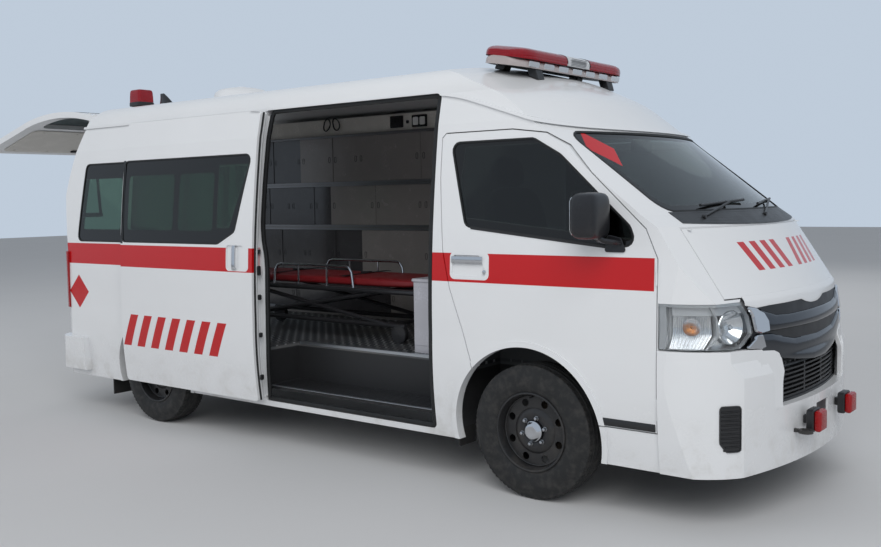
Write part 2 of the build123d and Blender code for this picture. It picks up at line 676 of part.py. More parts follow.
def hinges(parts):
    """Pins in the gaps between panels, half on the body and half on what they carry."""
    x = DOOR_HINGE_X
    y = DOOR_HINGE_Y
    post = box(*POST_X, *POST_Y, FOOT_FLOOR_Z, DOOR_HINGE_Z[1] + 105)
    leaves = []
    for z in DOOR_HINGE_Z:
        top = z + DOOR_PIN_LONG
        post += Pos(x, y, z + DOOR_PIN_LONG / 2) * Cylinder(PIN_RADIUS, DOOR_PIN_LONG)
        post += box(x - 1, x + 1.2, POST_Y[0] + 5, y, z, top)
        post += box(x - 1, POST_X[0] + 6, POST_Y[0] + 5, POST_Y[0] + 21, z, top)
        low = top + SEAT_GAP
        leaves.append(Pos(x, y, low + 20) * Cylinder(PIN_RADIUS, 40))
        leaves.append(box(x - 8, x, y - 14, y - 1, low, low + 40))
    leaves = joined(leaves)

    x, z = BONNET_HINGE_X, BONNET_HINGE_Z
    near, middle, far = BONNET_PIN_Y
    bonnet_pin = bar_y(x, near, middle, z, PIN_RADIUS) + box(x - 20, x, near, middle, z - 2, z + 1)
    bonnet_lug = bar_y(x, middle + SEAT_GAP, far, z, PIN_RADIUS)
    bonnet_lug += box(x, x + 20, middle + SEAT_GAP, far, z - 4, z)

    x, z = GATE_HINGE_X, GATE_HINGE_Z
    near, middle, far = GATE_PIN_Y
    roof_pin = bar_y(x, near, middle, z, PIN_RADIUS) + box(x - 1, x + 8, near, middle, z - 8, z + 1)
    gate_pin = bar_y(x, middle + SEAT_GAP, far, z, PIN_RADIUS)
    gate_pin += box(x - 8, x + 1, middle + SEAT_GAP, far, z - 8, z + 1)

    x, z = STRUT_FOOT
    stop_y = STRUT_Y + STRUT_EYE_HALF + SEAT_GAP
    stud = bar_y(x, STRUT_Y - 12, stop_y + 1, z, 5)
    stud += box(x - 16, x + 16, stop_y, 880, z - 16, z + 16)
    x, z = STRUT_EYE
    lug = box(x - 95, x + 13, STRUT_Y + 8 + SEAT_GAP, STRUT_Y + 16, z - 15, z + 15)
    for name, side in SIDES:
        parts["nose_panel"] += on_side(side, post + bonnet_pin)
        parts["door_" + name] += on_side(side, leaves)
        parts["bonnet"] += on_side(side, bonnet_lug)
        parts["roof"] += on_side(side, roof_pin)
        parts["tailgate"] += on_side(side, raised(gate_pin + lug))
        parts["side_" + name] += on_side(side, stud)


def tyre():
    """Tyre with its bore for the rim, turned about Y."""
    half = TYRE_WIDTH / 2
    bead = half - 14
    middle = (RIM_RADIUS + TYRE_RADIUS) / 2
    shoulder = (half - 22, TYRE_RADIUS - 6)
    with BuildSketch(Plane.YZ) as sketch:
        with BuildLine():
            Line((-bead, RIM_RADIUS), (bead, RIM_RADIUS))
            ThreePointArc((bead, RIM_RADIUS), (half, middle), shoulder)
            ThreePointArc(shoulder, (0, TYRE_RADIUS), (-shoulder[0], shoulder[1]))
            ThreePointArc((-shoulder[0], shoulder[1]), (-half, middle), (-bead, RIM_RADIUS))
        make_face()
    return revolve(sketch.sketch, axis=Axis.Y)


def rim():
    """Steel wheel of the left side: barrel, and a dished disc with its bore and round holes."""
    outer = RIM_RADIUS - SEAT_GAP
    long = TYRE_WIDTH - 28
    barrel = Cylinder(outer, long) - Cylinder(outer - RIM_WALL, long + 2)
    disc = Cylinder(outer - RIM_WALL / 2, RIM_WALL) - Cylinder(HUB_SPIGOT + SEAT_GAP, RIM_WALL + 2)
    disc -= PolarLocations(150, RIM_HOLES, start_angle=180 / RIM_HOLES) * Cylinder(20, RIM_WALL + 2)
    return Rot(-90, 0, 0) * (barrel + Pos(0, 0, RIM_DISC_OUT) * disc)


def wheels(parts):
    """Tyre and rim at each end of both axles."""
    for name, side in SIDES:
        for axle, x in AXLES:
            place = Pos(x, HALF_TRACK, TYRE_RADIUS)
            parts["tyre_" + axle + "_" + name] = on_side(side, place * tyre())
            parts["rim_" + axle + "_" + name] = on_side(side, place * rim())


def knuckle():
    """Left steering knuckle with its hub, brake disc and steering arm."""
    z = TYRE_RADIUS
    part = box(FX - 32, FX + 32, KINGPIN_Y - 25, KINGPIN_Y + 25, *KNUCKLE_Z)
    part += bar_y(FX, KINGPIN_Y, FLANGE_Y, z, HUB_RADIUS)
    part += bar_y(FX, FLANGE_Y - 10, FLANGE_Y + 22, z, HUB_SPIGOT)
    part += bar_y(FX, 782, 806, z, 140)
    part += box(FX - 150, FX - 20, KINGPIN_Y - 20, KINGPIN_Y + 10, z - 60, z - 30)
    return part


def rear_axle():
    """Axle tube, differential, brake drums and leaf springs with their shackles."""
    z = TYRE_RADIUS
    axle = bar_y(RX, -FLANGE_Y, FLANGE_Y, z, 45)
    axle += Pos(RX, 0, z) * Sphere(135)
    axle += bar_x(RX, AXLE_NOSE_X, 0, z, 60)
    for name, side in SIDES:
        axle += bar_y(RX, side * 730, side * 812, z, 150)
        axle += bar_y(RX, side * (FLANGE_Y - 10), side * (FLANGE_Y + 22), z, HUB_SPIGOT)
        axle += bar_y(RX, side * FLANGE_Y, side * 700, z, HUB_RADIUS)
        axle += side_box(side, RX - SPRING_HALF, RX + SPRING_HALF, *SPRING_Y, z + 55, z + 75)
        axle += side_box(side, RX - 380, RX + 380, *SPRING_Y, z + 40, z + 55)
        axle += side_box(side, RX - 70, RX + 70, *SPRING_Y, z - 55, z + 85)
        for end in (-1, 1):
            x = RX + end * SPRING_HALF
            axle += side_box(side, x - 15, x + 15, *SPRING_Y, z + 50, FLOOR_UNDER_Z)
    return axle


def frame_rails():
    """Two chassis rails that step down ahead of the front axle, and the beam across their front."""
    rails = []
    for name, side in SIDES:
        rails.append(side_box(side, TAIL_X + 120, FX + 410, *RAIL_Y, *RAIL_Z))
        rails.append(side_box(side, FX + 330, FX + 415, *RAIL_Y, FRONT_RAIL_Z[0], RAIL_Z[1]))
        rails.append(side_box(side, FX + 330, FRAME_FRONT_X, *RAIL_Y, *FRONT_RAIL_Z))
    return joined(rails)


def cross_members():
    """Members between the rails, the front beam and the towing eye on it."""
    inner = RAIL_Y[0]
    members = [box(x - 35, x + 35, -inner, inner, *CROSS_Z) for x in CROSS_X]
    members.append(box(FX - 170, FX + 170, -inner, inner, RAIL_Z[0] + 2, 464))
    front = box(FRAME_FRONT_X - 70, FRAME_FRONT_X, -inner, inner, *FRONT_RAIL_Z)
    eye_radius, ring_radius = TOW_EYE_RADII
    front += Pos(*TOW_EYE) * (Cylinder(ring_radius, TOW_EYE_THICK) - Cylinder(eye_radius, TOW_EYE_THICK + 4))
    x, y, z = TOW_EYE
    front += box(FRAME_FRONT_X - 10, x - 30, y - 9, y + 9, z - 8, z + 8)
    return joined(members + [front])


def front_arms():
    """Wishbones of both sides with the ball joints above and below the knuckles."""
    arms = []
    low_z, high_z = KNUCKLE_Z[0] - SEAT_GAP, KNUCKLE_Z[1] + SEAT_GAP
    for reach in (-150, 150):
        arms.append(bar((FX + reach, RAIL_Y[1] + 60, 340), (FX, KINGPIN_Y, ARM_BALL_Z), 20))
        arms.append(bar_x(FX + reach - 30, FX + reach + 30, RAIL_Y[1] + 45, 350, 40))
        arms.append(side_box(1, FX + reach - 20, FX + reach + 20, RAIL_Y[0], RAIL_Y[1] + 20,
                             350, RAIL_Z[0] - SEAT_GAP))
    for reach in (-90, 90):
        arms.append(bar((FX + reach, RAIL_Y[1] + 5, 552), (FX, KINGPIN_Y, high_z + 14), 12))
    arms.append(Pos(FX, KINGPIN_Y, ARM_BALL_Z) * Cylinder(28, 24))
    arms.append(Pos(FX, KINGPIN_Y, (ARM_BALL_Z + low_z) / 2) * Cylinder(14, low_z - ARM_BALL_Z))
    arms.append(Pos(FX, KINGPIN_Y, high_z + 12) * Cylinder(26, 24))
    arm = joined(arms)
    return arm + mirrored(arm)


def floor_pan():
    """Load floor, step well, cab floors and the wheel housings."""
    low, top = FLOOR_UNDER_Z, LOAD_FLOOR_Z
    foot_low = FOOT_FLOOR_Z - FLOOR_THICK
    well_low = STEP_Z - STEP_SHEET
    pan = box(TAIL_X, FX - 560, -1000, 1000, low, top)
    pan -= box(*WELL_X, -1000, -STEP_INNER_Y, 0, top + 10)
    sheets = [
        box(*WELL_X, -1000, -STEP_INNER_Y, well_low, STEP_Z),
        box(*WELL_X, -STEP_INNER_Y - 15, -STEP_INNER_Y, well_low, top),
        box(WELL_X[0] - 15, WELL_X[0], -1000, -STEP_INNER_Y, well_low, top),
        box(WELL_X[1], WELL_X[1] + 15, -1000, -STEP_INNER_Y, well_low, top),
        box(FX - 575, FX - 540, -1000, 1000, low, CAB_SHELF_Z),
        box(FX - 575, FX + 445, -1000, 1000, CAB_SHELF_Z - FLOOR_THICK, CAB_SHELF_Z),
        box(FX + 420, FX + 445, -1000, 1000, foot_low, CAB_SHELF_Z),
        box(FX + 420, TOE_BOARD_X[1], -1000, 1000, foot_low, FOOT_FLOOR_Z),
        box(*TOE_BOARD_X, -800, 800, foot_low, 1000),
    ]
    housing = REAR_ARCH_RADIUS + HOUSING_GAP
    for name, side in SIDES:
        sheets.append(side_box(side, FX - 480, FX + 445, 480, 495, 300, CAB_SHELF_Z - 10))
        sheets.append(side_box(side, FX - 480, FX - 465, 480, 1000, 300, CAB_SHELF_Z - 10))
        sheets.append(side_box(side, FX + 420, FX + 445, 480, 1000, 300, FOOT_FLOOR_Z))
        outer = bar_y(RX, side * 670, side * 1000, TYRE_RADIUS, housing + HOUSING_WALL)
        sheets.append(outer & box(RX - 500, RX + 500, -1000, 1000, low - 150, 1000))
    pan += sheets
    for name, side in SIDES:
        pan -= bar_y(RX, side * (670 + HOUSING_WALL), side * 1010, TYRE_RADIUS, housing)
        # Window in the front wheel house for the wishbones
        pan -= side_box(side, FX - 190, FX + 190, 470, 505, 290, 600)
    return pan & body_form(ROOM_INSET)


def interior(parts):
    """Cab and load space fittings."""
    seats = []
    z = CAB_SHELF_Z
    for name, side in SIDES:
        y = side * SEAT_Y
        cushion = box(FX - 330, FX + 150, y - 270, y + 270, z, z + 150)
        back = Pos(FX - 350, y, z + 440) * Rot(0, -SEAT_TILT, 0) * Box(110, 500, 620)
        rest = Pos(FX - 440, y, z + 820) * Rot(0, -SEAT_TILT, 0) * Box(80, 260, 170)
        seats.append(joined([fillet(p.edges(), 25) for p in (cushion, back, rest)]))
    parts["seats"] = joined(seats)

    facing = Plane(origin=WHEEL_CENTRE, z_dir=WHEEL_FACING)
    column = facing * Pos(0, 0, -125 - SEAT_GAP) * Cylinder(28, 210)
    dash = side_block(DASH, -790, 790) & body_form(WALL)
    parts["dashboard"] = dash + column
    ring_radius, ring_thick = WHEEL_RING
    wheel = Torus(ring_radius, ring_thick) + Cylinder(60, 40)
    wheel += [Rot(0, 0, angle) * Pos(100, 0, 0) * Box(180, 30, 12) for angle in (0, 120, 240)]
    parts["steering_wheel"] = facing * wheel

    x0, x1 = CUPBOARD_X
    cupboards = box(x0, x1, CUPBOARD_Y, 1000, LOAD_FLOOR_Z, CUPBOARD_TOP_Z) & body_form(ROOM_INSET)
    pitch = (x1 - x0) / CUPBOARD_COLUMNS
    for low, high in CUPBOARD_ROWS:
        for n in range(CUPBOARD_COLUMNS):
            x = x0 + n * pitch
            cupboards -= box(x + 15, x + pitch - 15, CUPBOARD_Y - 10, CUPBOARD_Y + 12, low, high)
    parts["cabinets"] = cupboards
    bench = box(FX - 1050, FX - 660, -560, 200, LOAD_FLOOR_Z, LOAD_FLOOR_Z + 420)
    parts["bench_box"] = fillet(bench.edges().filter_by(Axis.Z), 20)
    stretcher(parts)


def stretcher(parts):
    """Tube bed on crossed legs and four castors, with its pad."""
    x0, x1 = BED_X
    y = BED_Y
    tubes = []
    for name, side in SIDES:
        near = y + side * (BED_HALF - 40)
        tubes.append(bar_x(x0, x1, y + side * BED_HALF, BED_Z, 18))
        tubes.append(bar_x(x0 + 150, x1 - 150, near, BED_LOW_Z, 16))
        for xa, xb in ((x0 + 300, x1 - 300), (x1 - 300, x0 + 300)):
            tubes.append(bar((xa, near, BED_LOW_Z), (xb, y + side * (BED_HALF - 10), BED_Z), 14))
        for x in (x0 + 200, x1 - 200):
            tubes.append(bar_y(x, near - 15, near + 15, LOAD_FLOOR_Z + 60, 60))
            tubes.append(bar((x, near, BED_LOW_Z), (x, near, LOAD_FLOOR_Z + 80), 14))
    for x in (x0 + 20, x0 + 300, x1 - 300, x1 - 20):
        tubes.append(bar_y(x, y - BED_HALF, y + BED_HALF, BED_Z, 14))
    for x in (x0 + 300, x1 - 300):
        tubes.append(bar_y(x, y - BED_HALF + 40, y + BED_HALF - 40, BED_LOW_Z, 14))
    parts["stretcher"] = joined(tubes)
    pad_low = BED_Z + 14 + SEAT_GAP
    pad = box(x0 + 40, x1 - 40, y - BED_HALF + 25, y + BED_HALF - 25, pad_low, pad_low + 66)
    parts["stretcher_pad"] = fillet(pad.edges(), 25)


def roof_equipment(parts):
    """Light bar on its feet, beacon and vent, each cut to the crown of the roof."""
    long, wide, tall = BAR_SIZE
    lamp_bar = Pos(BAR_X, 0, BAR_Z) * Box(long, wide, tall)
    lamp_bar = fillet(lamp_bar.edges().filter_by(Axis.Z), 110)
    lamp_bar = fillet(lamp_bar.faces().sort_by(Axis.Z)[-1].edges(), 35)
    groove = box(BAR_X - 200, BAR_X + 200, -700, 700, BAR_Z - 18, BAR_Z - 12)
    core = fillet((Pos(BAR_X, 0, BAR_Z) * Box(long - 16, wide - 16, tall)).edges().filter_by(Axis.Z), 102)
    lamp_bar -= groove - core
    for name, side in SIDES:
        y = side * 520
        foot = make_face(Polyline((BAR_X - 70, 2230), (BAR_X + 110, 2200), (BAR_X + 60, 2290), (BAR_X - 60, 2290),
                                  close=True))
        lamp_bar += Pos(0, y + 30, 0) * extrude(Rot(90, 0, 0) * foot, amount=60, dir=(0, -1, 0))
    beacon = Pos(BEACON_X, BEACON_Y, 2330) * Cylinder(70, 110)
    beacon = fillet(beacon.faces().sort_by(Axis.Z)[-1].edges(), 20)
    beacon += box(BEACON_X - 70, BEACON_X + 70, BEACON_Y - 60, BEACON_Y + 60, 2230, 2285)
    vent = Pos(VENT_X, VENT_Y, 2325) * Box(460, 420, 90)
    vent = fillet(vent.edges().filter_by(Axis.Z), 60)
    vent = fillet(vent.faces().sort_by(Axis.Z)[-1].edges(), 30)
    vent += box(VENT_X - 210, VENT_X + 210, VENT_Y - 190, VENT_Y + 190, 2240, 2290)
    above_roof = body_form(-SEAT_GAP)
    parts["light_bar"] = lamp_bar - above_roof
    parts["rear_beacon"] = beacon - above_roof
    parts["roof_vent"] = vent - above_roof


def mirror_head():
    """Left mirror on its arm, whose foot follows the door's skin."""
    head = fillet((Pos(FX + 420, 1035, 1430) * Box(90, 200, 190)).edges(), 40)
    head += bar((FX + 430, 1000, 1340), (FX + 520, 905, 1300), 18)
    return head - body_form(-SEAT_GAP)


def screen_point(y, z, lift):
    """Point ahead of the windscreen's face, at a distance from the middle and a height."""
    (dx0, z0), (dx1, z1) = NOSE_PROFILE[-2:]
    reach = NOSE_SWING + dx0 + (dx1 - dx0) * (z - z0) / (z1 - z0) + lift
    return (SWING_X + math.sqrt(reach * reach - y * y), y, z)


def wipers():
    """Two wiper arms with their blades, parked low on the windscreen."""
    rods = []
    for y in WIPER_Y:
        z = WIPER_FOOT_Z
        tip = screen_point(y + 330, z + 65, 26)
        rods.append(bar(screen_point(y, z, 4), screen_point(y, z, 22), 10))
        rods.append(bar(screen_point(y, z + 3, 18), tip, 6))
        rods.append(bar(tip, screen_point(y + 330, z + 65, 12), 6))
        rods.append(bar(screen_point(y + 60, z + 53, 18), screen_point(y + 540, z + 75, 18), 7))
    return joined(rods) - body_form(-SEAT_GAP)


def under_pieces(parts):
    """Flaps, engine block with its gearbox, shaft, fuel tank and exhaust."""
    flaps = []
    for name, side in SIDES:
        flap = side_box(side, RX - 610, RX - 600, 700, 850, 120, 470)
        flaps.append(flap + side_box(side, RX - 600, RX - 570, 700, 850, 440, FLOOR_UNDER_Z))
    parts["mud_flaps"] = joined(flaps)
    engine = box(FX - 470, FX + 300, -320, 320, 465, 800)
    parts["engine"] = engine + box(GEARBOX_REAR_X, FX - 470, -150, 150, 440, 575)
    shaft = bar((AXLE_NOSE_X + 15, 0, TYRE_RADIUS), (GEARBOX_REAR_X - 15, 0, SHAFT_FRONT_Z), 32)
    shaft += bar_x(AXLE_NOSE_X + SEAT_GAP, AXLE_NOSE_X + 30, 0, TYRE_RADIUS, 45)
    shaft += bar_x(GEARBOX_REAR_X - 30, GEARBOX_REAR_X - SEAT_GAP, 0, SHAFT_FRONT_Z, 45)
    parts["prop_shaft"] = shaft
    tank = box(RX + 620, RX + 1400, -375, -70, 340, FLOOR_UNDER_Z - SEAT_GAP)
    parts["fuel_tank"] = fillet(tank.edges().filter_by(Axis.X), 40)
    y, z = EXHAUST_Y, EXHAUST_Z
    pipe = bar_x(TAIL_X + 30, FX - 470, y, z, 24) + bar_x(RX - 830, RX - 530, y, z, 65)
    for x in (TAIL_X + 120, RX - 700, RX + 900, FX - 900):
        pipe += box(x, x + 20, y - 10, y + 10, z, FLOOR_UNDER_Z)
    parts["exhaust"] = pipe


def main():
    os.makedirs("parts", exist_ok=True)
    roof = roof_zone()
    shell = make_shell(roof)
    nose = side_block(NOSE_PART, -1500, 1500)
    tail = gate_zone(PANEL_GAP)
    screen = screen_opening()
    parts = {"roof": (shell & roof) - tail - screen}
    body_sides(parts, shell, roof, nose, tail, screen)
    parts["windscreen"] = layer(GLASS_INSET, GLASS_INSET + GLASS_THICK) & screen_opening(SEAT_GAP)
    front_end(parts, shell, nose, screen)
    tail_end(parts, shell)
    hinges(parts)
    door_rail(parts)
    wheels(parts)
    for name, side in SIDES:
        parts["knuckle_" + name] = on_side(side, knuckle())
        parts["mirror_" + name] = on_side(side, mirror_head())
    parts["rear_axle"] = rear_axle()
    parts["frame_rails"] = frame_rails()
    parts["cross_members"] = cross_members()
    parts["front_arms"] = front_arms()
    parts["floor_pan"] = floor_pan()
    interior(parts)
    roof_equipment(parts)
    parts["wipers"] = wipers()
    under_pieces(parts)
    for name, part in parts.items():
        print(name, len(part.solids()), round(part.volume / 1e6, 2))
        export_step(part, "parts/" + name + ".step")
    print(Compound(list(parts.values())).bounding_box())


main()
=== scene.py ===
import math

import bmesh
import bpy
import numpy as np
from mathutils import Matrix, Vector


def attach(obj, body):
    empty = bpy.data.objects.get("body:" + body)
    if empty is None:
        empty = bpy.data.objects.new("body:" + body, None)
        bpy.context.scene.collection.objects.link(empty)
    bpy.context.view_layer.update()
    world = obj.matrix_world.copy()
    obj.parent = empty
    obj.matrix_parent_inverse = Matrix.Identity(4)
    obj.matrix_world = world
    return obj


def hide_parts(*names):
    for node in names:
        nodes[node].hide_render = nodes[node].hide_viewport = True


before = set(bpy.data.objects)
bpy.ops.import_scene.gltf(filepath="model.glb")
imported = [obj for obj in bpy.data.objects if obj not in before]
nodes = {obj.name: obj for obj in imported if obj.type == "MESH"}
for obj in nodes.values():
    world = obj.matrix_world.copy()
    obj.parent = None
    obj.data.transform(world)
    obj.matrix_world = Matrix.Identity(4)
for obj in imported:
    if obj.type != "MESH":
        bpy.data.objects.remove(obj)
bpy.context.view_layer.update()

# Main places in metres: X to the nose, Y to the vehicle's left, Z up from the ground
# NOSE_AXIS is the upright axis that nose and windscreen bend about, CORNER the front corner's axis and radius
# SLIDE_BACK and SLIDE_OUT say how far the open sliding door stands back and out
FRONT_AXLE = 2.150
REAR_AXLE = -0.960
TAIL = -2.065
NOSE_AXIS = 0.700
CORNER = (2.850, 0.543, 0.400)
TRACK = 0.827
WHEEL_RADIUS = 0.346
SLIDE_BACK = 1.345
SLIDE_OUT = 0.080
VENT = (-0.902, -0.100)
SIDES = (("right", -1), ("left", 1))
STRIPE = (1.094, 1.245)
WHITE = (0.80, 0.81, 0.82)
RED = (0.520, 0.006, 0.008)
PRINT = (0.006, 0.006, 0.006)


# Mesh helpers

def quads(rows, columns, close_rows=False, close_columns=False):
    """Four-cornered faces of a grid of points, as indices of the flattened grid."""
    i = np.arange(rows if close_rows else rows - 1)[:, None]
    j = np.arange(columns if close_columns else columns - 1)[None, :]
    a = i * columns + j
    b = (i + 1) % rows * columns + j
    c = (i + 1) % rows * columns + (j + 1) % columns
    d = i * columns + (j + 1) % columns
    return np.stack([a, b, c, d], -1).reshape(-1, 4).tolist()


def gathered(parts):
    """Several (points, faces) pairs as one pair, with each one's indices moved on."""
    points, faces, start = [], [], 0
    for p, f in parts:
        p = np.asarray(p, float).reshape(-1, 3)
        points.append(p)
        faces += [[k + start for k in face] for face in f]
        start += len(p)
    return np.concatenate(points), faces


def piece(name, parts, finish, body, smooth=42.0, replaces=(), outward=True):
    """A new object of one or more (points, faces) pairs, finished, and riding on a body."""
    if isinstance(parts, tuple):
        parts = [parts]
    points, faces = gathered(parts)
    mesh = bpy.data.meshes.new(name)
    mesh.from_pydata(points.tolist(), [], faces)
    mesh.materials.append(finish)
    if outward:
        bm = bmesh.new()
        bm.from_mesh(mesh)
        bmesh.ops.remove_doubles(bm, verts=bm.verts, dist=1e-6)
        bmesh.ops.recalc_face_normals(bm, faces=bm.faces)
        bm.to_mesh(mesh)
        bm.free()
    obj = bpy.data.objects.new(name, mesh)
    bpy.context.scene.collection.objects.link(obj)
    mesh.shade_smooth()
    if smooth < 180:
        mesh.set_sharp_from_angle(angle=math.radians(smooth))
    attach(obj, body)
    for node in replaces:
        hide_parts(node)
    return obj


def rounded(points, radius, steps=5):
    """A closed outline with its corners rounded: each corner becomes an arc tangent to both its edges."""
    p = np.asarray(points, float)
    back = np.roll(p, 1, 0) - p
    on = np.roll(p, -1, 0) - p
    back /= np.linalg.norm(back, axis=1)[:, None]
    on /= np.linalg.norm(on, axis=1)[:, None]
    half = np.arccos(np.clip((back * on).sum(1), -1, 1)) / 2
    reach = radius / np.tan(half)
    t = np.linspace(0, 1, steps)[None, :, None]
    a = (p + back * reach[:, None])[:, None, :]
    c = (p + on * reach[:, None])[:, None, :]
    b = p[:, None, :]
    weight = np.sin(half)[:, None, None]
    curve = ((1 - t) ** 2 * a + 2 * weight * t * (1 - t) * b + t ** 2 * c) / ((1 - t) ** 2 + 2 * weight * t
        * (1 - t) + t ** 2)
    return curve.reshape(-1, p.shape[1])


def denser(path, step, closed=True):
    """The same line with points at even steps along it."""
    p = np.asarray(path, float)
    if closed:
        p = np.concatenate([p, p[:1]])
    run = np.concatenate([[0], np.cumsum(np.linalg.norm(np.diff(p, axis=0), axis=1))])
    count = max(4, int(run[-1] / step))
    at = np.linspace(0, run[-1], count + (0 if closed else 1), endpoint=not closed)
    return np.stack([np.interp(at, run, p[:, k]) for k in range(p.shape[1])], 1)


def swept(path, profile, up=(0, 0, 1), closed=False):
    """A profile (across, up) carried along a path: point = path + across * side + up * top."""
    p = np.asarray(path, float)
    profile = np.asarray(profile, float)
    if closed:
        tangent = np.roll(p, -1, 0) - np.roll(p, 1, 0)
    else:
        tangent = np.gradient(p, axis=0)
    tangent /= np.linalg.norm(tangent, axis=1)[:, None]
    up = np.broadcast_to(np.asarray(up, float), p.shape)
    side = np.cross(tangent, up)
    side /= np.linalg.norm(side, axis=1)[:, None]
    top = np.cross(side, tangent)
    grid = p[:, None] + profile[None, :, :1] * side[:, None] + profile[None, :, 1:] * top[:, None]
    if closed:
        return grid.reshape(-1, 3), quads(*grid.shape[:2], True, True)
    return capped(grid)


def xyz(x, y, z):
    """Points from their three coordinates."""
    return np.stack([x, y, z], -1)


def sheet(grid):
    """An open sheet from a grid of points."""
    return grid.reshape(-1, 3), quads(*grid.shape[:2])


def capped(grid):
    """Rings of points joined into a tube and closed at both ends."""
    n, m = grid.shape[:2]
    return grid.reshape(-1, 3), quads(n, m, False, True) + [list(range(m))[::-1],
        [(n - 1) * m + k for k in range(m)]]


def mirrored(right):
    """A profile even about its middle, from the points of its right half, bottom first."""
    return [(-right[0][0], right[0][1])] + right + [(-a, b) for a, b in right[:0:-1]]


def full_turn(count):
    """Even angles once round."""
    return np.linspace(0, 2 * math.pi, count, endpoint=False)


def bent(value, power):
    """A number raised to a power with its sign kept, as superellipses need."""
    return np.sign(value) * np.abs(value) ** power


def circle(radius, count=12):
    """Points of a circle: radius times (cos a, sin a)."""
    a = full_turn(count)
    return np.stack([radius * np.cos(a), radius * np.sin(a)], 1)


def tube(path, radius, count=12, up=(0, 0, 1), closed=False):
    """A round tube along a path."""
    return swept(path, circle(radius, count), up, closed)


def turned(profile, centre, axis="y", count=48, flip=1):
    """A profile (radius, height) turned about an axis: (r cos a, r sin a) across it and height along it."""
    p = np.asarray(profile, float)
    a = full_turn(count)[:, None]
    across = p[None, :, 0] * np.cos(a)
    over = p[None, :, 0] * np.sin(a)
    along = np.broadcast_to(p[None, :, 1] * flip, across.shape)
    order = {"x": (along, across, over), "y": (across, along, over), "z": (across, over, along)}[axis]
    grid = np.stack(order, -1) + np.asarray(centre, float)
    faces = quads(count, len(p), True, False)
    m = len(p)
    ends = () if np.allclose(p[0], p[-1]) else (0, m - 1)
    for k in ends:
        if p[k, 0] > 1e-6:
            faces.append([i * m + k for i in range(count)])
    return grid.reshape(-1, 3), faces


def plate(outline, thick, place, bevel=0.002):
    """A plate with bevelled edges: the outline at four depths, drawn in by the bevel at the outer two."""
    o = np.asarray(outline, float)
    tangent = np.roll(o, -1, 0) - np.roll(o, 1, 0)
    tangent /= np.maximum(np.linalg.norm(tangent, axis=1), 1e-9)[:, None]
    area = (o[:, 0] * np.roll(o[:, 1], -1) - np.roll(o[:, 0], -1) * o[:, 1]).sum()
    inward = np.stack([-tangent[:, 1], tangent[:, 0]], 1) * (1 if area > 0 else -1)
    rings = []
    for depth, draw in ((0, bevel), (bevel, 0), (thick - bevel, 0), (thick, bevel)):
        flat = o + inward * draw
        rings.append(place(flat[:, 0], flat[:, 1], np.full(len(o), depth)))
    return capped(np.stack(rings))


def rect(a0, b0, a1, b1, radius, steps):
    """A rounded rectangle between two opposite corners."""
    return rounded([(a0, b0), (a1, b0), (a1, b1), (a0, b1)], radius, steps)


def centred(a, b, half_a, half_b, radius, steps):
    """A rounded rectangle about its middle."""
    return rect(a - half_a, b - half_b, a + half_a, b + half_b, radius, steps)


def facing_right(y):
    """Places (x, z, depth) on an upright plane along X: y less the depth."""
    return lambda u, v, w: xyz(u, y - w, v)


def facing_front(x):
    """Places (y, z, depth) on an upright plane across X: x less the depth."""
    return lambda u, v, w: xyz(x - w, u, v)


def facing_back(x):
    """Places (y, z, depth) on an upright plane across X: x and the depth."""
    return lambda u, v, w: xyz(x + w, u, v)


def facing_up(z):
    """Places (x, y, depth) on a level plane: z and the depth."""
    return lambda u, v, w: xyz(u, v, z + w)


def block(low, high, bevel=0.004, corner=0.006):
    """A box with rounded upright corners and bevelled rims."""
    (x0, y0, z0), (x1, y1, z1) = low, high
    return plate(rect(x0, y0, x1, y1, corner, 4), z1 - z0, facing_up(z0), bevel)


def cushion(centre, size, turn=0.0, power=(5.0, 5.0), crown=0.0, count=(56, 40)):
    """A padded block: a superellipsoid, |x|^p + |y|^p = 1 in plan, closed above and below by |z|^q."""
    u = full_turn(count[0])[:, None]
    v = np.linspace(-math.pi / 2, math.pi / 2, count[1])[None, :]
    ring = bent(np.cos(v), 2 / power[1])
    x = size[0] / 2 * bent(np.cos(u), 2 / power[0]) * ring
    y = size[1] / 2 * bent(np.sin(u), 2 / power[0]) * ring
    z = size[2] / 2 * bent(np.sin(v), 2 / power[1]) * np.ones_like(u)
    z = z * (1 - crown * (2 * x / size[0]) ** 2) * (1 - crown * (2 * y / size[1]) ** 2)
    a = math.radians(turn)
    grid = xyz(x * math.cos(a) + z * math.sin(a), y, z * math.cos(a) - x * math.sin(a))
    return (grid + np.asarray(centre)).reshape(-1, 3), quads(*count, True, False)


# The body's surface

def half_width(z):
    """Half the body's width at a height: three parabolas, then a straight tuck to the gutter."""
    z = np.asarray(z, float)
    arcs = (
        ((0.250, 0.035), (0.480, 0.008), (0.800, 0.001)),
        ((0.800, 0.001), (1.100, 0.006), (1.370, 0.022)),
        ((1.370, 0.022), (1.650, 0.050), (1.922, 0.084)),
    )
    inset = 0.084 + (z - 1.922) * (0.122 - 0.084) / 0.168
    for arc in reversed(arcs):
        (a, fa), (b, fb), (c, fc) = arc
        curve = (fa * (z - b) * (z - c) / ((a - b) * (a - c)) + fb * (z - a) * (z - c) / ((b - a) * (b - c))
            + fc * (z - a) * (z - b) / ((c - a) * (c - b)))
        inset = np.where(z < c, curve, inset)
    return 0.940 - inset


def nose_reach(z):
    """The nose's distance from its upright axis at a height: straight between a few points."""
    heights = (0.2, 0.700, 0.770, 0.905, 1.040, 1.385, 1.438, 1.868)
    depths = (0, 0, -0.022, -0.026, -0.050, -0.267, -0.340, -0.865)
    return 2.600 + np.interp(z, heights, depths)


def side(sign, lift=0.0, out=0.0, back=0.0):
    """Places (x, z, w) on the vehicle's side: y = sign * (half width + lift + w), drawn back along X."""
    def place(x, z, w=0.0):
        return xyz(x - back, sign * (half_width(z) + lift + out + w), z + 0 * x)
    return place


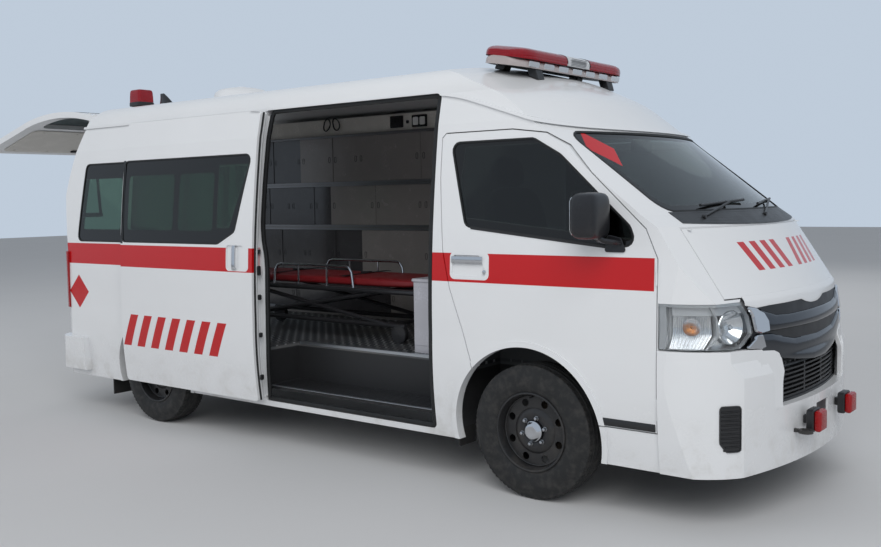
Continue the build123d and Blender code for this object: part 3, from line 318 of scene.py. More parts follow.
def around_corner(angle, z, lift=0.0):
    """The front corner's skin along an angle from its centre: the nearest of side, round corner and nose."""
    cx, cy, radius = CORNER
    c, s = np.cos(angle), np.sin(angle)
    to_side = (half_width(z) - cy) / np.maximum(s, 1e-6)
    gap = cx - NOSE_AXIS
    b = gap * c + cy * s
    to_nose = -b + np.sqrt(np.maximum(b * b - (gap * gap + cy * cy) + nose_reach(z) ** 2, 0))
    reach = np.minimum(np.minimum(to_side, radius), to_nose) + lift
    return xyz(cx + reach * c, cy + reach * s, z + 0 * reach)


def ahead(y, z, lift=0.0):
    """The nose's skin at a distance from the middle and a height."""
    return xyz(NOSE_AXIS + np.sqrt((nose_reach(z) + lift) ** 2 - y * y), y, z + 0 * y)


def on_nose(lift):
    """Places (y, z, depth) on the nose: the lift less the depth from its skin."""
    return lambda u, v, w: ahead(u, v, lift - w)


def flipped(part):
    """The same part on the other side."""
    points, faces = part
    return np.asarray(points).reshape(-1, 3) * (1, -1, 1), [list(f)[::-1] for f in faces]


# Finishes

class Finish:
    """A material and short ways to add nodes to it."""

    def __init__(self, name):
        self.mat = bpy.data.materials.new(name)
        self.mat.use_nodes = True
        self.tree = self.mat.node_tree
        self.shader = self.tree.nodes["Principled BSDF"]
        self.at = self.tree.nodes.new("ShaderNodeTexCoord").outputs["Object"]
        split = self.tree.nodes.new("ShaderNodeSeparateXYZ")
        self.tree.links.new(self.at, split.inputs[0])
        self.x, self.y, self.z = split.outputs

    def put(self, socket, value):
        if isinstance(value, bpy.types.NodeSocket):
            self.tree.links.new(value, socket)
        else:
            socket.default_value = value

    def set(self, **values):
        for name, value in values.items():
            if isinstance(value, tuple):
                value = (*value, 1)
            self.put(self.shader.inputs[name.replace("_", " ")], value)

    def math(self, kind, a, b=0.0, c=None):
        n = self.tree.nodes.new("ShaderNodeMath")
        n.operation = kind
        self.put(n.inputs[0], a)
        self.put(n.inputs[1], b)
        if c is not None:
            self.put(n.inputs[2], c)
        return n.outputs[0]

    def times(self, a, b):
        return self.math("MULTIPLY", a, b)

    def plus(self, a, b):
        return self.math("ADD", a, b)

    def minus(self, a, b):
        return self.math("SUBTRACT", a, b)

    def over(self, a, b):
        return self.math("DIVIDE", a, b)

    def size_of(self, a):
        return self.math("ABSOLUTE", a)

    def ramp(self, value, low, high, to_low=0.0, to_high=1.0):
        """A smooth step of a value between two edges."""
        n = self.tree.nodes.new("ShaderNodeMapRange")
        n.interpolation_type = "SMOOTHSTEP"
        for k, v in enumerate((value, low, high, to_low, to_high)):
            self.put(n.inputs[k], v)
        return n.outputs[0]

    def within(self, value, low, high, soft=0.0015):
        """One between two edges, nought outside."""
        return self.times(self.ramp(value, low - soft, low + soft),
            self.ramp(value, high - soft, high + soft, 1.0, 0.0))

    def all_of(self, *masks):
        out = masks[0]
        for m in masks[1:]:
            out = self.times(out, m)
        return out

    def any_of(self, *masks):
        out = masks[0]
        for m in masks[1:]:
            out = self.math("MAXIMUM", out, m)
        return out

    def rounded_patch(self, u, v, centre, half, radius, soft=0.002):
        """A rounded rectangle: distance of (|p - c| - half + r) from nought, less r."""
        across = []
        for value, c, h in ((u, centre[0], half[0]), (v, centre[1], half[1])):
            d = self.minus(self.size_of(self.minus(value, c)), h - radius)
            across.append(self.math("MAXIMUM", d, 0.0))
        length = self.math("SQRT", self.plus(*[self.times(d, d) for d in across]))
        return self.ramp(length, radius - soft, radius + soft, 1.0, 0.0)

    def lozenge(self, u, v, centre, half, soft=0.003):
        """A square stood on its corner: |u - c| / a + |v - c| / b below one."""
        parts = []
        for value, c, h in ((u, centre[0], half[0]), (v, centre[1], half[1])):
            parts.append(self.over(self.size_of(self.minus(value, c)), h))
        total = self.plus(*parts)
        return self.ramp(total, 1 - soft / half[0], 1 + soft / half[0], 1.0, 0.0)

    def stretched(self, scale):
        n = self.tree.nodes.new("ShaderNodeMapping")
        self.put(n.inputs["Vector"], self.at)
        n.inputs["Scale"].default_value = scale
        return n.outputs[0]

    def noise(self, scale, detail=4.0, rough=0.5, vector=None):
        n = self.tree.nodes.new("ShaderNodeTexNoise")
        self.put(n.inputs["Vector"], vector or self.at)
        n.inputs["Scale"].default_value = scale
        n.inputs["Detail"].default_value = detail
        n.inputs["Roughness"].default_value = rough
        return n.outputs["Fac"]

    def cells(self, scale, feature="F1", vector=None):
        n = self.tree.nodes.new("ShaderNodeTexVoronoi")
        n.feature = feature
        self.put(n.inputs["Vector"], vector or self.at)
        n.inputs["Scale"].default_value = scale
        return n.outputs["Distance"]

    def mix(self, share, a, b):
        n = self.tree.nodes.new("ShaderNodeMix")
        n.data_type = "RGBA"
        self.put(n.inputs[0], share)
        for k, v in ((6, a), (7, b)):
            self.put(n.inputs[k], (*v, 1) if isinstance(v, tuple) else v)
        return n.outputs[2]

    def bump(self, height, strength=0.2, distance=0.001, normal=None):
        n = self.tree.nodes.new("ShaderNodeBump")
        n.inputs["Strength"].default_value = strength
        n.inputs["Distance"].default_value = distance
        self.put(n.inputs["Height"], height)
        if normal is not None:
            self.put(n.inputs["Normal"], normal)
        self.put(self.shader.inputs["Normal"], n.outputs[0])
        return n.outputs[0]

    def worn_edges(self, dark, light, share=0.5):
        """Colour that lightens where a coarse and a fine noise meet, as handled or rubbed surfaces do."""
        n = self.times(self.ramp(self.noise(9.0, 5.0), 0.45, 0.7), self.ramp(self.noise(120.0, 3.0), 0.4, 0.7))
        return self.mix(self.times(n, share), dark, light)


def painted(name, colour, dust=(0.46, 0.44, 0.40), rough=0.26, marks=None):
    """Stoved enamel: a slight drift of tone, dust low down, fine ripple in the gloss, and any painted marks."""
    f = Finish(name)
    tone = f.mix(f.noise(1.7, 3.0), colour, tuple(c * 0.94 for c in colour))
    if marks:
        tone = f.mix(marks(f), tone, RED)
    low = f.times(f.ramp(f.z, 0.62, 0.28), f.ramp(f.noise(7.0, 6.0, 0.65), 0.42, 0.75))
    speck = f.times(low, 0.45)
    f.set(Base_Color=f.mix(speck, tone, dust), Roughness=f.plus(f.times(speck, 0.5), rough))
    f.set(Coat_Weight=0.3, Coat_Roughness=0.05, Specular_IOR_Level=0.35)
    f.bump(f.noise(220.0, 2.0), 0.035, 0.0006)
    return f.mat


HANDLE_PATCHES = (((1.795, 1.180), (0.125, 0.072)), ((0.060, 1.184), (0.105, 0.084)))


def side_marks(wall_y, extra=()):
    """Red band along the waist on the outer skin, broken by the white surround of a handle."""
    def marks(f):
        outer = f.ramp(f.size_of(f.y), wall_y - 0.002, wall_y + 0.002)
        band = f.all_of(f.within(f.z, *STRIPE), f.ramp(f.x, 2.842, 2.838))
        masks = [band]
        for add in extra:
            masks.append(add(f))
        out = f.any_of(*masks)
        for centre, half in HANDLE_PATCHES:
            right = f.ramp(f.y, 0.0, 0.01, 1.0, 0.0) if centre[0] < 1 else 1.0
            hole = f.rounded_patch(f.x, f.z, centre, half, 0.03)
            keep = f.minus(1.0, f.times(hole, right))
            out = f.times(out, keep)
        return f.times(out, outer)
    return marks


def slanted_bars(f):
    """A row of slanted bars low on the sliding door, one every 0.155 m."""
    slope = f.minus(f.x, f.times(f.z, 0.45))
    saw = f.math("FRACT", f.over(f.plus(slope, 5.0), 0.155))
    bars = f.within(saw, 0.16, 0.72, 0.012)
    return f.all_of(bars, f.within(f.z, 0.545, 0.765), f.within(slope, -1.4443, -0.3593))


def side_lozenge(f):
    return f.lozenge(f.x, f.z, (-1.825, 0.885), (0.125, 0.125))


def bonnet_marks(f):
    """Slanted bars across the bonnet, on both sides of its middle."""
    away = f.size_of(f.y)
    slope = f.minus(away, f.times(f.z, 0.35))
    saw = f.math("FRACT", f.over(f.plus(slope, 5.0), 0.105))
    bars = f.within(saw, 0.16, 0.72, 0.012)
    outer = f.within(f.z, 1.165, 1.300)
    return f.all_of(bars, outer, f.within(slope, -0.3863, 0.0337))


white = painted("white body enamel", WHITE)
white_side = painted("white side enamel with red band", WHITE, marks=side_marks(0.905, (side_lozenge,)))
white_door = painted("white cab door enamel with red band", WHITE, marks=side_marks(0.905))
white_slider = painted("white sliding door enamel with red band", WHITE,
    marks=side_marks(0.985, (slanted_bars,)))
white_bonnet = painted("white bonnet enamel with slanted bars", WHITE, marks=bonnet_marks)
frame_black = painted("black underseal", (0.022, 0.022, 0.023), dust=(0.10, 0.09, 0.08), rough=0.55)
wheel_black = painted("black wheel enamel", (0.018, 0.018, 0.019), dust=(0.09, 0.08, 0.07), rough=0.38)
tube_black = painted("black tube enamel", (0.022, 0.022, 0.024), dust=(0.08, 0.07, 0.07), rough=0.28)


def glass(name, tint, border=None, rough=0.0):
    """Tinted glass that lets light through, with a printed black border where one is given."""
    f = Finish(name)
    smear = f.ramp(f.noise(5.0, 5.0), 0.5, 0.8)
    f.set(Roughness=f.math("MULTIPLY_ADD", smear, 0.03, rough))
    if border:
        edge = border(f)
        f.set(Base_Color=f.mix(edge, tint, PRINT))
        f.set(Transmission_Weight=f.minus(1.0, edge))
    else:
        f.set(Base_Color=f.mix(f.noise(0.8, 2.0), tint, tuple(c * 0.9 for c in tint)))
        f.shader.inputs["Transmission Weight"].default_value = 1.0
    f.set(IOR=1.45, Specular_IOR_Level=0.5)
    return f.mat


def side_border(f):
    """Printed black edge of the side windows, leaving the clear panes and blanking the posts between them."""
    def pane(x0, x1, z0, z1):
        centre = ((x0 + x1) / 2, (z0 + z1) / 2)
        return f.rounded_patch(f.x, f.z, centre, ((x1 - x0) / 2, (z1 - z0) / 2), 0.03)
    panes = [pane(-1.780, -1.300, 1.348, 1.715), pane(0.330, 0.860, 1.350, 1.740),
        pane(0.900, 1.370, 1.350, 1.740)]
    panes += [pane(-1.105, -0.600, 1.350, 1.720), pane(-0.540, -0.190, 1.350, 1.720)]
    slant = f.minus(f.x, f.times(f.minus(f.z, 1.372), 0.405))
    corner = f.all_of(f.within(f.z, 1.372, 1.760, 0.01), f.ramp(f.x, -0.150, -0.135),
        f.ramp(slant, -0.020, -0.035))
    return f.minus(1.0, f.any_of(corner, *panes))


def cab_border(f):
    """Black edge of the cab door's window: it thickens toward the lower front corner."""
    top = f.ramp(f.z, 1.800, 1.792)
    low = f.ramp(f.plus(f.z, f.times(f.minus(f.x, 1.75), 0.104)), 1.425, 1.435)
    rear = f.ramp(f.plus(f.x, f.times(f.minus(f.z, 1.43), -0.10)), 1.700, 1.708)
    return f.minus(1.0, f.all_of(top, low, rear))


dark_glass = glass("dark tinted window glass", (0.045, 0.058, 0.054))
cab_glass = glass("cab door glass with black edge", (0.055, 0.070, 0.064), cab_border)
side_window = glass("green tinted side glass with black edge", (0.060, 0.120, 0.085), side_border)


def screen_border(f):
    """Black print round the windscreen and the plain red lozenge at its upper right corner."""
    return f.minus(1.0, f.rounded_patch(f.y, f.z, (0.0, 1.652), (0.720, 0.172), 0.06))


def screen_finish():
    """Windscreen: light green tint, black printed edge, and a red lozenge stuck inside its corner."""
    f = Finish("windscreen glass")
    edge = screen_border(f)
    mark = f.lozenge(f.y, f.z, (-0.672, 1.765), (0.080, 0.092))
    solid = f.any_of(edge, mark)
    tone = f.mix(edge, (0.115, 0.145, 0.135), PRINT)
    f.set(Base_Color=f.mix(mark, tone, RED), Transmission_Weight=f.minus(1.0, solid))
    f.set(Roughness=f.times(f.ramp(f.noise(4.0, 5.0), 0.5, 0.8), 0.03), IOR=1.45)
    return f.mat


windscreen_glass = screen_finish()


def metal(name, colour, rough=0.08, scratch=0.1, stretch=(1, 1, 1), metallic=1.0):
    """Bare or plated metal with faint scratches and smudges in its gloss."""
    f = Finish(name)
    marks = f.noise(60.0, 4.0, 0.6, f.stretched(stretch))
    f.set(Base_Color=f.mix(f.noise(3.0, 4.0), colour, tuple(c * 0.86 for c in colour)))
    f.set(Roughness=f.math("MULTIPLY_ADD", marks, scratch, rough), Metallic=metallic)
    f.bump(marks, 0.06, 0.0005)
    return f.mat


chrome = metal("bright plated trim", (0.62, 0.63, 0.65), 0.05, 0.12)
smoked_chrome = metal("smoked plated grille bar", (0.085, 0.090, 0.100), 0.08, 0.12)
bowl_chrome = metal("lamp reflector", (0.92, 0.93, 0.94), 0.10, 0.08, metallic=0.88)
grey_frame = metal("silver lamp surround", (0.66, 0.67, 0.68), 0.30, 0.05, metallic=0.4)
bright_steel = metal("ground steel", (0.55, 0.55, 0.56), 0.22, 0.25, (1, 1, 30))
cast_iron = metal("rusty cast iron", (0.20, 0.16, 0.13), 0.55, 0.3, metallic=0.7)
alloy = metal("rolled aluminium", (0.58, 0.59, 0.60), 0.28, 0.3, (8, 1, 8))
rail_grey = metal("grey anodised rail", (0.26, 0.26, 0.27), 0.32, 0.2, (8, 1, 8))
tank_steel = metal("dull tank steel", (0.12, 0.12, 0.12), 0.42, 0.3, metallic=0.8)


def moulded(name, colour, rough=0.5, grain=900.0, depth=0.0004, strength=0.35):
    """Moulded plastic or rubber: fine leather-like grain, with paler scuffs."""
    f = Finish(name)
    f.set(Base_Color=f.worn_edges(colour, tuple(min(1.0, c * 1.6 + 0.02) for c in colour), 0.35))
    f.set(Roughness=f.math("MULTIPLY_ADD", f.noise(15.0, 4.0), 0.18, rough - 0.09))
    f.bump(f.cells(grain), strength, depth)
    return f.mat


black_plastic = moulded("black grained plastic", (0.018, 0.018, 0.019), 0.42)
gloss_black = moulded("gloss black plastic", (0.010, 0.010, 0.011), 0.16, 300.0, 0.0001, 0.08)
mirror_black = moulded("satin black mirror shell", (0.012, 0.012, 0.014), 0.30, 700.0, 0.0002, 0.15)
seal_rubber = moulded("black seal rubber", (0.012, 0.012, 0.012), 0.62, 500.0)
flap_rubber = moulded("mud flap rubber", (0.025, 0.024, 0.023), 0.75, 400.0)
grille_grey = moulded("grey speaker grille", (0.22, 0.23, 0.24), 0.5)
dash_grey = moulded("grey dashboard plastic", (0.07, 0.072, 0.075), 0.55)
grille_black = moulded("black grille mesh", (0.006, 0.006, 0.007), 0.46, 300.0, 0.0001, 0.08)
liner_grey = moulded("cream lining", (0.60, 0.575, 0.53), 0.5, 600.0)
socket_white = moulded("white socket plastic", (0.72, 0.72, 0.70), 0.35, 600.0)
vent_white = moulded("white vent plastic", (0.78, 0.79, 0.80), 0.34, 500.0, 0.0002, 0.15)
# Cupboard laminate and taupe panels: their own grey and taupe, set darker so the colour also carries painted
# shade of the dim load space.
laminate = moulded("grey cupboard laminate", (0.19, 0.18, 0.175), 0.34, 700.0, 0.0002, 0.15)
panel_pale_with_painted_shade = moulded("taupe sliding panel", (0.235, 0.22, 0.21), 0.24, 300.0, 0.0001, 0.05)
panel_smoked = moulded("smoked sliding panel", (0.045, 0.043, 0.046), 0.12, 300.0, 0.0001, 0.05)
box_pale = moulded("pale box laminate", (0.46, 0.46, 0.50), 0.3, 700.0, 0.0002, 0.15)


def cloth(name, colour, pitch=900.0):
    """Woven seat cloth: two crossed waves make the warp and weft, with flecks of lighter yarn."""
    f = Finish(name)
    weave = f.times(f.math("SINE", f.times(f.plus(f.x, f.z), pitch)),
        f.math("SINE", f.times(f.plus(f.y, f.z), pitch)))
    fleck = f.ramp(f.noise(180.0, 3.0), 0.5, 0.75)
    f.set(Base_Color=f.mix(fleck, colour, tuple(c * 1.7 for c in colour)))
    f.set(Roughness=0.92, Sheen_Weight=0.35, Sheen_Roughness=0.5)
    f.bump(weave, 0.5, 0.0008)
    return f.mat


seat_cloth = cloth("grey woven seat cloth", (0.075, 0.08, 0.09))


def vinyl(name, colour):
    """Coated cloth with fine leather grain and soft creases."""
    f = Finish(name)
    crease = f.noise(6.0, 6.0, 0.6)
    f.set(Base_Color=f.mix(crease, colour, tuple(c * 1.5 + 0.01 for c in colour)))
    f.set(Roughness=f.math("MULTIPLY_ADD", crease, 0.2, 0.32))
    grain = f.bump(f.cells(380.0), 0.3, 0.0006)
    f.bump(crease, 0.25, 0.004, grain)
    return f.mat


pad_vinyl = vinyl("deep red stretcher vinyl", (0.140, 0.004, 0.006))


def lens(name, tint, pitch=0.0, depth=0.4, rough=0.03, transmission=0.9):
    """Moulded lens: coloured clear plastic with fine upright or crossed ribs inside."""
    f = Finish(name)
    f.set(Base_Color=f.mix(f.noise(4.0, 2.0), tint, tuple(c * 0.85 for c in tint)))
    f.set(Roughness=f.math("MULTIPLY_ADD", f.noise(30.0), 0.04, rough))
    f.set(Transmission_Weight=transmission, IOR=1.45)
    if pitch:
        ribs = f.plus(f.math("SINE", f.times(f.y, pitch)), f.math("SINE", f.times(f.z, pitch)))
        f.bump(ribs, depth, 0.002)
    return f.mat


clear_lens = lens("clear lamp cover", (0.97, 0.98, 0.98), rough=0.0, transmission=1.0)
red_lens = lens("red ribbed lens", (0.55, 0.006, 0.008), 900.0, transmission=0.35, rough=0.08)
amber_lens = lens("amber bulb glass", (0.95, 0.32, 0.03), transmission=0.5)
dome_red = lens("red dome plastic", (0.40, 0.003, 0.012), 420.0, 0.18, transmission=0.35, rough=0.06)
dome_white = lens("white dome plastic", (0.78, 0.79, 0.80), 420.0, 0.15, transmission=0.15, rough=0.1)
tray_clear = lens("clear tray plastic", (0.70, 0.62, 0.61), 0.0, transmission=0.35, rough=0.14)


def tread_rubber():
    """Road tyre: dusty black tread, darker walls, and fine radial scuffing."""
    f = Finish("road tyre rubber")
    dust = f.times(f.ramp(f.noise(24.0, 6.0, 0.6), 0.4, 0.7), 0.5)
    f.set(Base_Color=f.mix(dust, (0.016, 0.016, 0.016), (0.060, 0.056, 0.052)))
    f.set(Roughness=f.math("MULTIPLY_ADD", f.noise(12.0), 0.2, 0.62))
    f.bump(f.noise(400.0, 3.0), 0.3, 0.0006)
    return f.mat


tyre_rubber = tread_rubber()


def chequer_finish():
    """Chequer plate: short bars that turn by a right angle from one small square to the next."""
    f = Finish("chequer plate and grey floor")
    pitch = 0.052
    u = f.over(f.plus(f.x, f.y), pitch * 1.414)
    v = f.over(f.minus(f.x, f.y), pitch * 1.414)
    cu = f.minus(f.math("FRACT", f.plus(u, 100.0)), 0.5)
    cv = f.minus(f.math("FRACT", f.plus(v, 100.0)), 0.5)
    odd = f.math("MODULO", f.plus(f.math("FLOOR", f.plus(u, 100.0)), f.math("FLOOR", f.plus(v, 100.0))), 2.0)
    even = f.minus(1.0, odd)
    def bar(a, b):
        long = f.size_of(a)
        wide = f.size_of(b)
        return f.times(f.ramp(long, 0.38, 0.30), f.ramp(wide, 0.17, 0.10))
    lift = f.plus(f.times(bar(cu, cv), odd), f.times(bar(cv, cu), even))
    level = f.within(f.z, 0.612, 0.628, 0.002)
    lift = f.times(lift, level)
    tone = f.mix(lift, (0.10, 0.105, 0.11), (0.74, 0.75, 0.76))
    tone = f.mix(f.ramp(f.noise(4.0, 5.0), 0.45, 0.7), tone, (0.16, 0.155, 0.15))
    step = f.ramp(f.z, 0.600, 0.590)
    f.set(Base_Color=f.mix(step, tone, (0.022, 0.022, 0.023)), Metallic=f.times(level, 0.75))
    f.set(Roughness=f.math("MULTIPLY_ADD", lift, -0.15, 0.5))
    f.bump(lift, 0.8, 0.002)
    return f.mat


floor_plate = chequer_finish()

FINISHES = (
    (white, "roof nose_panel front_bumper tailgate rear_bumper"),
    (white_side, "side_right side_left"),
    (white_door, "door_right door_left"),
    (white_slider, "sliding_door"),
    (white_bonnet, "bonnet"),
    (gloss_black, "mirror_right mirror_left bumper_lamps strut_tube_right strut_tube_left"),
    (vent_white, "roof_vent"),
    (side_window, "side_glass"),
    (cab_glass, "door_glass_right door_glass_left"),
    (dark_glass, "tailgate_glass"),
    (windscreen_glass, "windscreen"),
    (grille_black, "grille"),
    (smoked_chrome, "grille_bars"),
    (clear_lens, "front_lamps"),
    (red_lens, "tail_lamps"),
    (dome_red, "light_bar rear_beacon"),
    (tyre_rubber, "tyre_front_right tyre_front_left tyre_rear_right tyre_rear_left"),
    (flap_rubber, "mud_flaps"),
    (wheel_black, "rim_front_right rim_front_left rim_rear_right rim_rear_left"),
    (frame_black, "frame_rails cross_members front_arms rear_axle"),
    (cast_iron, "engine exhaust knuckle_right knuckle_left"),
    (tank_steel, "prop_shaft fuel_tank"),
    (floor_plate, "floor_pan"),
    (laminate, "cabinets"),
    (box_pale, "bench_box"),
    (dash_grey, "dashboard"),
    (black_plastic, "steering_wheel wipers"),
    (seat_cloth, "seats"),
    (tube_black, "stretcher"),
    (pad_vinyl, "stretcher_pad"),
    (bright_steel, "strut_rod_right strut_rod_left door_rails"),
)
for finish, names in FINISHES:
    for name in names.split():
        for slot in nodes[name].material_slots:
            slot.material = finish


# Wheels

BEAD = (0.2035, 0.082)
NUT_CIRCLE = 0.06985
HALF_TREAD = 0.0805
TREAD_STEPS = 222


def tyre_form(axle, sign):
    """Tyre: a section (height, across) turned about the axle, with grooves and slanted shoulder cuts.

    Radius = section radius - groove depth; grooves lie at four widths, cuts where sin(74 a + 90 y) is high.
    """
    half = 0.0962
    wall = np.linspace(0, 1, 15)
    bead = np.array([BEAD])
    bulge = 0.0145 * np.sin(np.pi * np.minimum(wall * 1.12, 1)) ** 0.8
    arc = np.stack([BEAD[0] + 0.1330 * wall, BEAD[1] + bulge], 1)
    tread_y = np.linspace(HALF_TREAD, -HALF_TREAD, 51)
    crown = 0.3455 - 0.0055 * (np.abs(tread_y) / HALF_TREAD) ** 2.6
    section = np.concatenate([bead, arc, np.stack([crown, tread_y], 1), arc[::-1] * (1, -1), bead * (1, -1)])
    section[:, 1] = np.clip(section[:, 1], -half, half)
    a = full_turn(TREAD_STEPS)[:, None]
    y = section[None, :, 1] + 0 * a
    r = section[None, :, 0] + 0 * a
    on_tread = (r > 0.334).astype(float)
    groove = sum(np.clip(1 - np.abs(y - c) / 0.0048, 0, 1) for c in (-0.047, -0.016, 0.016, 0.047))
    groove = np.clip(groove * 2.2, 0, 1)
    shoulder = np.clip((np.abs(y) - 0.052) / 0.004, 0, 1)
    cut = np.clip((np.sin(74 * a + 90 * np.abs(y)) - 0.55) * 4, 0, 1) * shoulder
    middle = np.clip((np.sin(111 * a + 240 * y) - 0.78) * 6, 0, 1) * (1 - shoulder) * 0.6
    r = r - 0.0075 * on_tread * np.maximum(groove, np.maximum(cut * 0.8, middle * 0.6))
    ring = 0.0016 * (np.abs(r - 0.222) < 0.003) + 0.0012 * (np.abs(r - 0.318) < 0.003)
    y = y + np.sign(y) * ring * (np.abs(y) > 0.07)
    y = np.clip(y, -0.0975, 0.0975)
    grid = xyz(axle + r * np.cos(a), sign * TRACK + y, WHEEL_RADIUS + r * np.sin(a))
    return grid.reshape(-1, 3), quads(TREAD_STEPS, len(section), True, True)


def wheel_fittings(axle, sign):
    """Rolled lip, flare, raised nave ring and rim bead of one steel wheel."""
    centre = (axle, sign * TRACK, WHEEL_RADIUS)
    lip_angle = full_turn(14)
    lip = np.stack([0.1985 + 0.0062 * np.cos(lip_angle), 0.0850 + 0.0058 * np.sin(lip_angle)], 1)
    ring = turned(np.concatenate([lip, lip[:1]]), centre, count=96, flip=sign)
    flare = turned([(0.1940, 0.084), (0.1880, 0.072), (0.1845, 0.056), (0.1840, 0.042), (0.1900, 0.040),
            (0.1942, 0.060), (0.1940, 0.084)], centre, count=96, flip=sign)
    nave = turned([(0.056, 0.0382), (0.056, 0.0455), (0.064, 0.0500), (0.090, 0.0500), (0.103, 0.0475),
            (0.116, 0.0402), (0.118, 0.0382), (0.056, 0.0382)], centre, count=72, flip=sign)
    bead = turned([(0.1735, 0.0382), (0.1750, 0.0425), (0.1785, 0.0445), (0.1830, 0.0425), (0.1850, 0.0382),
            (0.1735, 0.0382)], centre, count=96, flip=sign)
    return [ring, flare, nave, bead]


def nuts(axle, sign):
    """Six domed hexagon nuts on a 139.7 mm circle."""
    section = [(0.0, 0.0495), (0.0125, 0.0495), (0.0125, 0.0535), (0.0105, 0.0540), (0.0104, 0.0640),
        (0.0088, 0.0675), (0.0045, 0.0700), (0.0, 0.0704)]
    parts = []
    for k in range(6):
        a = math.radians(60 * k + 15)
        centre = (axle + NUT_CIRCLE * math.cos(a), sign * TRACK, WHEEL_RADIUS + NUT_CIRCLE * math.sin(a))
        parts.append(turned(section, centre, count=6, flip=sign))
    return parts


def hub_cap(axle, sign):
    """Pressed cap: a step, a cone and a shallow dish."""
    return turned([(0.0, 0.0780), (0.016, 0.0785), (0.026, 0.0805), (0.033, 0.0800), (0.040, 0.0760),
            (0.0455, 0.0640), (0.0520, 0.0600), (0.0530, 0.0520), (0.0530, 0.0400)],
        (axle, sign * TRACK, WHEEL_RADIUS), count=60, flip=sign)


for axle_name, axle in (("front", FRONT_AXLE), ("rear", REAR_AXLE)):
    for side_name, sign in SIDES:
        place = axle_name + "_" + side_name
        wheel = "wheel_" + place
        piece("road_tyre_" + place, tyre_form(axle, sign), tyre_rubber, wheel, 35, ["tyre_" + place])
        piece("wheel_lip_" + place, wheel_fittings(axle, sign), wheel_black, wheel, 40)
        piece("wheel_nuts_" + place, nuts(axle, sign), bright_steel, wheel, 25)
        piece("hub_cap_" + place, hub_cap(axle, sign), chrome, wheel, 50)
        valve = turned([(0.0, 0.105), (0.0035, 0.105), (0.0042, 0.085), (0.0042, 0.060)],
            (axle, sign * TRACK, WHEEL_RADIUS + 0.178), count=12, flip=sign * 0.9)
        piece("valve_" + place, valve, seal_rubber, wheel)


# Headlamps

LAMP_Z = (0.832, 1.040)


def lamp_front_edge(z):
    """The lamp's inner edge seen from ahead, straight between four corners."""
    return np.interp(z, (LAMP_Z[0], 0.890, 0.975, LAMP_Z[1]), (0.735, 0.650, 0.655, 0.705))


def lamp_angles(z):
    """The angles about the corner's centre of the lamp's inner edge and of its rear edge at a height."""
    y = lamp_front_edge(z)
    x = NOSE_AXIS + np.sqrt(nose_reach(z) ** 2 - y * y)
    rear = np.arctan2(half_width(z) - CORNER[1], 0.012)
    return np.arctan2(y - CORNER[1], x - CORNER[0]), rear


def lamp_sheet(depth, rows=26, columns=56, t0=0.0, t1=1.0, z0=0.0, z1=1.0, shrink=0.0, wave=None):
    """A sheet under the skin: height runs over z, the angle runs from the inner to the rear edge over t."""
    v = np.linspace(z0 + shrink, z1 - shrink, rows)[:, None]
    t = np.linspace(t0 + shrink, t1 - shrink, columns)[None, :]
    z = LAMP_Z[0] + (LAMP_Z[1] - LAMP_Z[0]) * v + 0 * t
    a, b = lamp_angles(z)
    angle = a + (b - a) * t
    lift = -depth + (wave(t, v) if wave else 0.0)
    return around_corner(angle, z, lift)


def border(n, m):
    """Indices once round the edge of a flattened grid."""
    rim = [i * m for i in range(n)] + [(n - 1) * m + j for j in range(1, m)]
    return rim + [i * m + m - 1 for i in range(n - 2, -1, -1)] + list(range(m - 2, 0, -1))


def slab_of(outer, inner):
    """Two matching sheets closed round their edges into one solid."""
    n, m = outer.shape[:2]
    faces = quads(n, m)
    faces += [[k + n * m for k in f[::-1]] for f in quads(n, m)]
    rim = border(n, m)
    count = len(rim)
    faces += [[rim[k], rim[(k + 1) % count], rim[(k + 1) % count] + n * m, rim[k] + n * m]
        for k in range(count)]
    return np.concatenate([outer.reshape(-1, 3), inner.reshape(-1, 3)]), faces


def lamp_slab(front, back, **more):
    """A solid between two depths under the skin."""
    return slab_of(lamp_sheet(front, **more), lamp_sheet(back, **more))


def lamp_walls(front, back):
    """The lamp's surround: a tray whose rim follows the cover and whose floor lies deeper."""
    top, low = (lamp_sheet(depth, shrink=0.004) for depth in (front, back))
    rim = border(*top.shape[:2])
    ring = np.stack([grid.reshape(-1, 3)[rim] for grid in (top, low)])
    return ring.reshape(-1, 3), quads(2, len(rim), False, True)


def bowl(centre, aim, radius, deep, ribs=0, squash=1.0):
    """A dished reflector: depth = deep * (1 - r^2), opening along an aim, with optional ribs round it."""
    r = np.linspace(1.0, 0.08, 16)[:, None]
    a = full_turn(72)[None, :]
    flute = 1 + (0.02 * np.cos(ribs * a) if ribs else 0.0)
    aim = np.asarray(aim, float) / np.linalg.norm(aim)
    right = np.cross(aim, (0, 0, 1))
    right /= np.linalg.norm(right)
    over = np.cross(right, aim)
    u = radius * r * np.cos(a) * flute
    v = radius * squash * r * np.sin(a) * flute
    w = -deep * (1 - r ** 2) + 0 * a
    grid = np.asarray(centre) + u[..., None] * right + v[..., None] * over + w[..., None] * aim
    return grid.reshape(-1, 3), quads(*grid.shape[:2], False, True)


def globe(centre, size, count=(20, 14)):
    """A bulb: an ellipsoid."""
    u = full_turn(count[0])[:, None]
    v = np.linspace(-math.pi / 2, math.pi / 2, count[1])[None, :]
    grid = xyz(np.cos(u) * np.cos(v) * size[0], np.sin(u) * np.cos(v) * size[1], np.sin(v) * size[2] + 0 * u)
    return (grid + np.asarray(centre)).reshape(-1, 3), quads(*count, True, False)


